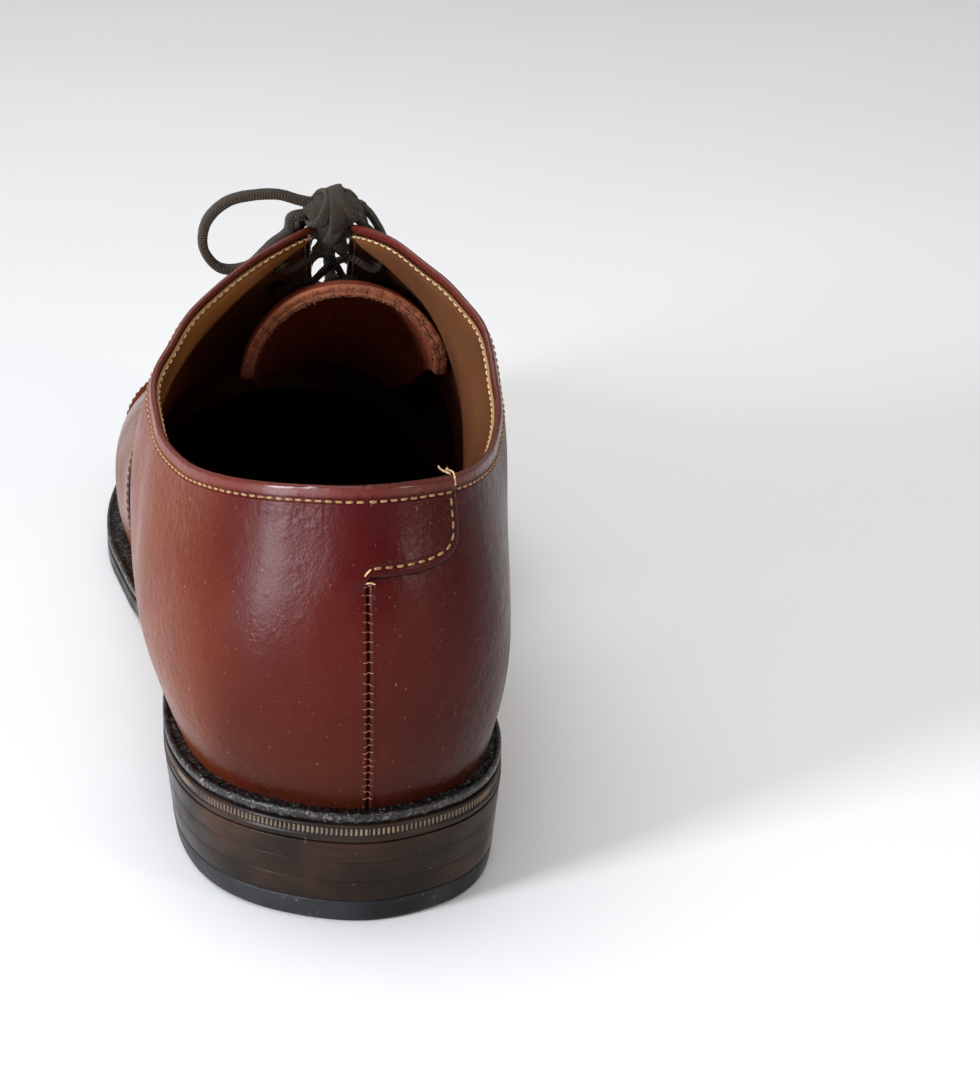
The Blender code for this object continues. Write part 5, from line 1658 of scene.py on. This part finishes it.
# A heel nail's (radius, height) profile, from its head up
NAIL = [(0.02, -0.06), (1.2, -0.02), (1.5, 0.1), (1.5, 0.55), (0.85, 0.7), (0.85, 11.5), (0.02, 12)]


def build_fittings():
    """Heel nails, and materials for the CAD pieces that stay as they are."""
    for k, (x, s) in enumerate(NAIL_PLACES):
        lathe(
            f"heel_nail_head_{k + 1}", NAIL, (x, s + BACK_Y, 0), (0, 0, 1), STEEL, 24,
            slot="steel", replaces=[f"heel_nail_{k + 1}"],
        )
    kept = {
        "insole": INSOLE, "sock_liner": SOCK, "cork_filler": CORK, "shank": STEEL,
        "heel_counter": FIBRE, "toe_puff": FIBRE,
    }
    for side in ("lateral", "medial"):
        for number in range(EYELETS_PER_SIDE):
            kept[f"eyelet_{side}_{number + 1}"] = BRASS
    for name, material in kept.items():
        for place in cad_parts[name].material_slots:
            place.material = material


# ---------------------------------------------------------------- light and floor


FLOOR_WIDTH, FLOOR_THICKNESS = 14.0, 0.02
SURROUND = 0.38


def area_light(name, place, target, size, power, color=(1, 1, 1)):
    """A rectangular lamp at a place, turned to a target."""
    data = bpy.data.lights.new(name, "AREA")
    data.shape = "RECTANGLE"
    data.size, data.size_y = size
    data.energy = power
    data.color = color
    light = bpy.data.objects.new(name, data)
    light.location = place
    toward = Vector(target) - Vector(place)
    light.rotation_euler = toward.to_track_quat("-Z", "Y").to_euler()
    bpy.context.scene.collection.objects.link(light)


def build_studio():
    """A pale floor, a white surround and soft lights from windows above and beside the shoe."""
    floor = Shader("studio_floor", 0.7)
    patches = floor.ramp(floor.noise(3.0), 0.3, 0.7)
    material = floor.finish(floor.mix(patches, rgb(246, 246, 246), rgb(250, 250, 250)))
    work = bmesh.new()
    bmesh.ops.create_cube(work, size=1.0)
    mesh = bpy.data.meshes.new("studio_floor")
    bmesh.ops.scale(work, verts=work.verts, vec=(FLOOR_WIDTH, FLOOR_WIDTH, FLOOR_THICKNESS))
    bmesh.ops.translate(work, verts=work.verts, vec=(0, 0, -FLOOR_THICKNESS / 2 - 0.0002))
    work.to_mesh(mesh)
    work.free()
    mesh.materials.append(material)
    piece = bpy.data.objects.new("studio_floor", mesh)
    bpy.context.scene.collection.objects.link(piece)
    world = bpy.data.worlds.new("studio")
    world.use_nodes = True
    background = world.node_tree.nodes["Background"]
    background.inputs["Color"].default_value = (1.0, 1.0, 1.0, 1.0)
    background.inputs["Strength"].default_value = SURROUND
    bpy.context.scene.world = world
    middle = (0, -0.08, 0.07)
    area_light("window_left", (-1.0, -0.66, 0.3), middle, (0.28, 0.5), 21.0, (0.86, 0.9, 1.0))
    area_light("window_right", (0.8, -0.85, 0.3), middle, (0.16, 0.3), 2.6, (1.0, 0.88, 0.74))
    area_light("overhead", (-0.2, 0.2, 1.3), middle, (1.0, 1.0), 7.5)
    area_light("behind_camera", (-0.1, -1.3, 1.0), middle, (0.7, 0.4), 3.0)
    bpy.context.scene.view_settings.view_transform = "Standard"


STEEL = plain("nail_steel", rgb(150, 148, 142), 0.35, 1.0)
BRASS = plain("blackened_brass_ring", rgb(70, 60, 46), 0.4, 1.0)
AGLET = plain("lace_tip_plastic", rgb(40, 34, 30), 0.25)
INSOLE = suede("insole_surface", rgb(150, 116, 80), rgb(120, 88, 58), 300.0, 0.7)
SOCK = suede("sock_surface", rgb(34, 22, 16), rgb(22, 14, 11), 500.0, 0.7)
CORK = suede("cork_grain", rgb(150, 112, 74), rgb(96, 64, 38), 350.0, 0.9)
FIBRE = suede("stiffener_fibre", rgb(170, 150, 116), rgb(140, 120, 88), 400.0, 0.85)

build_free_laces()
build_lacing()
build_knot()
build_quarters()
build_linings()
build_vamp()
build_stitches()
build_welt()
build_heel()
build_outsole()
build_tongue()
build_fittings()
build_studio()
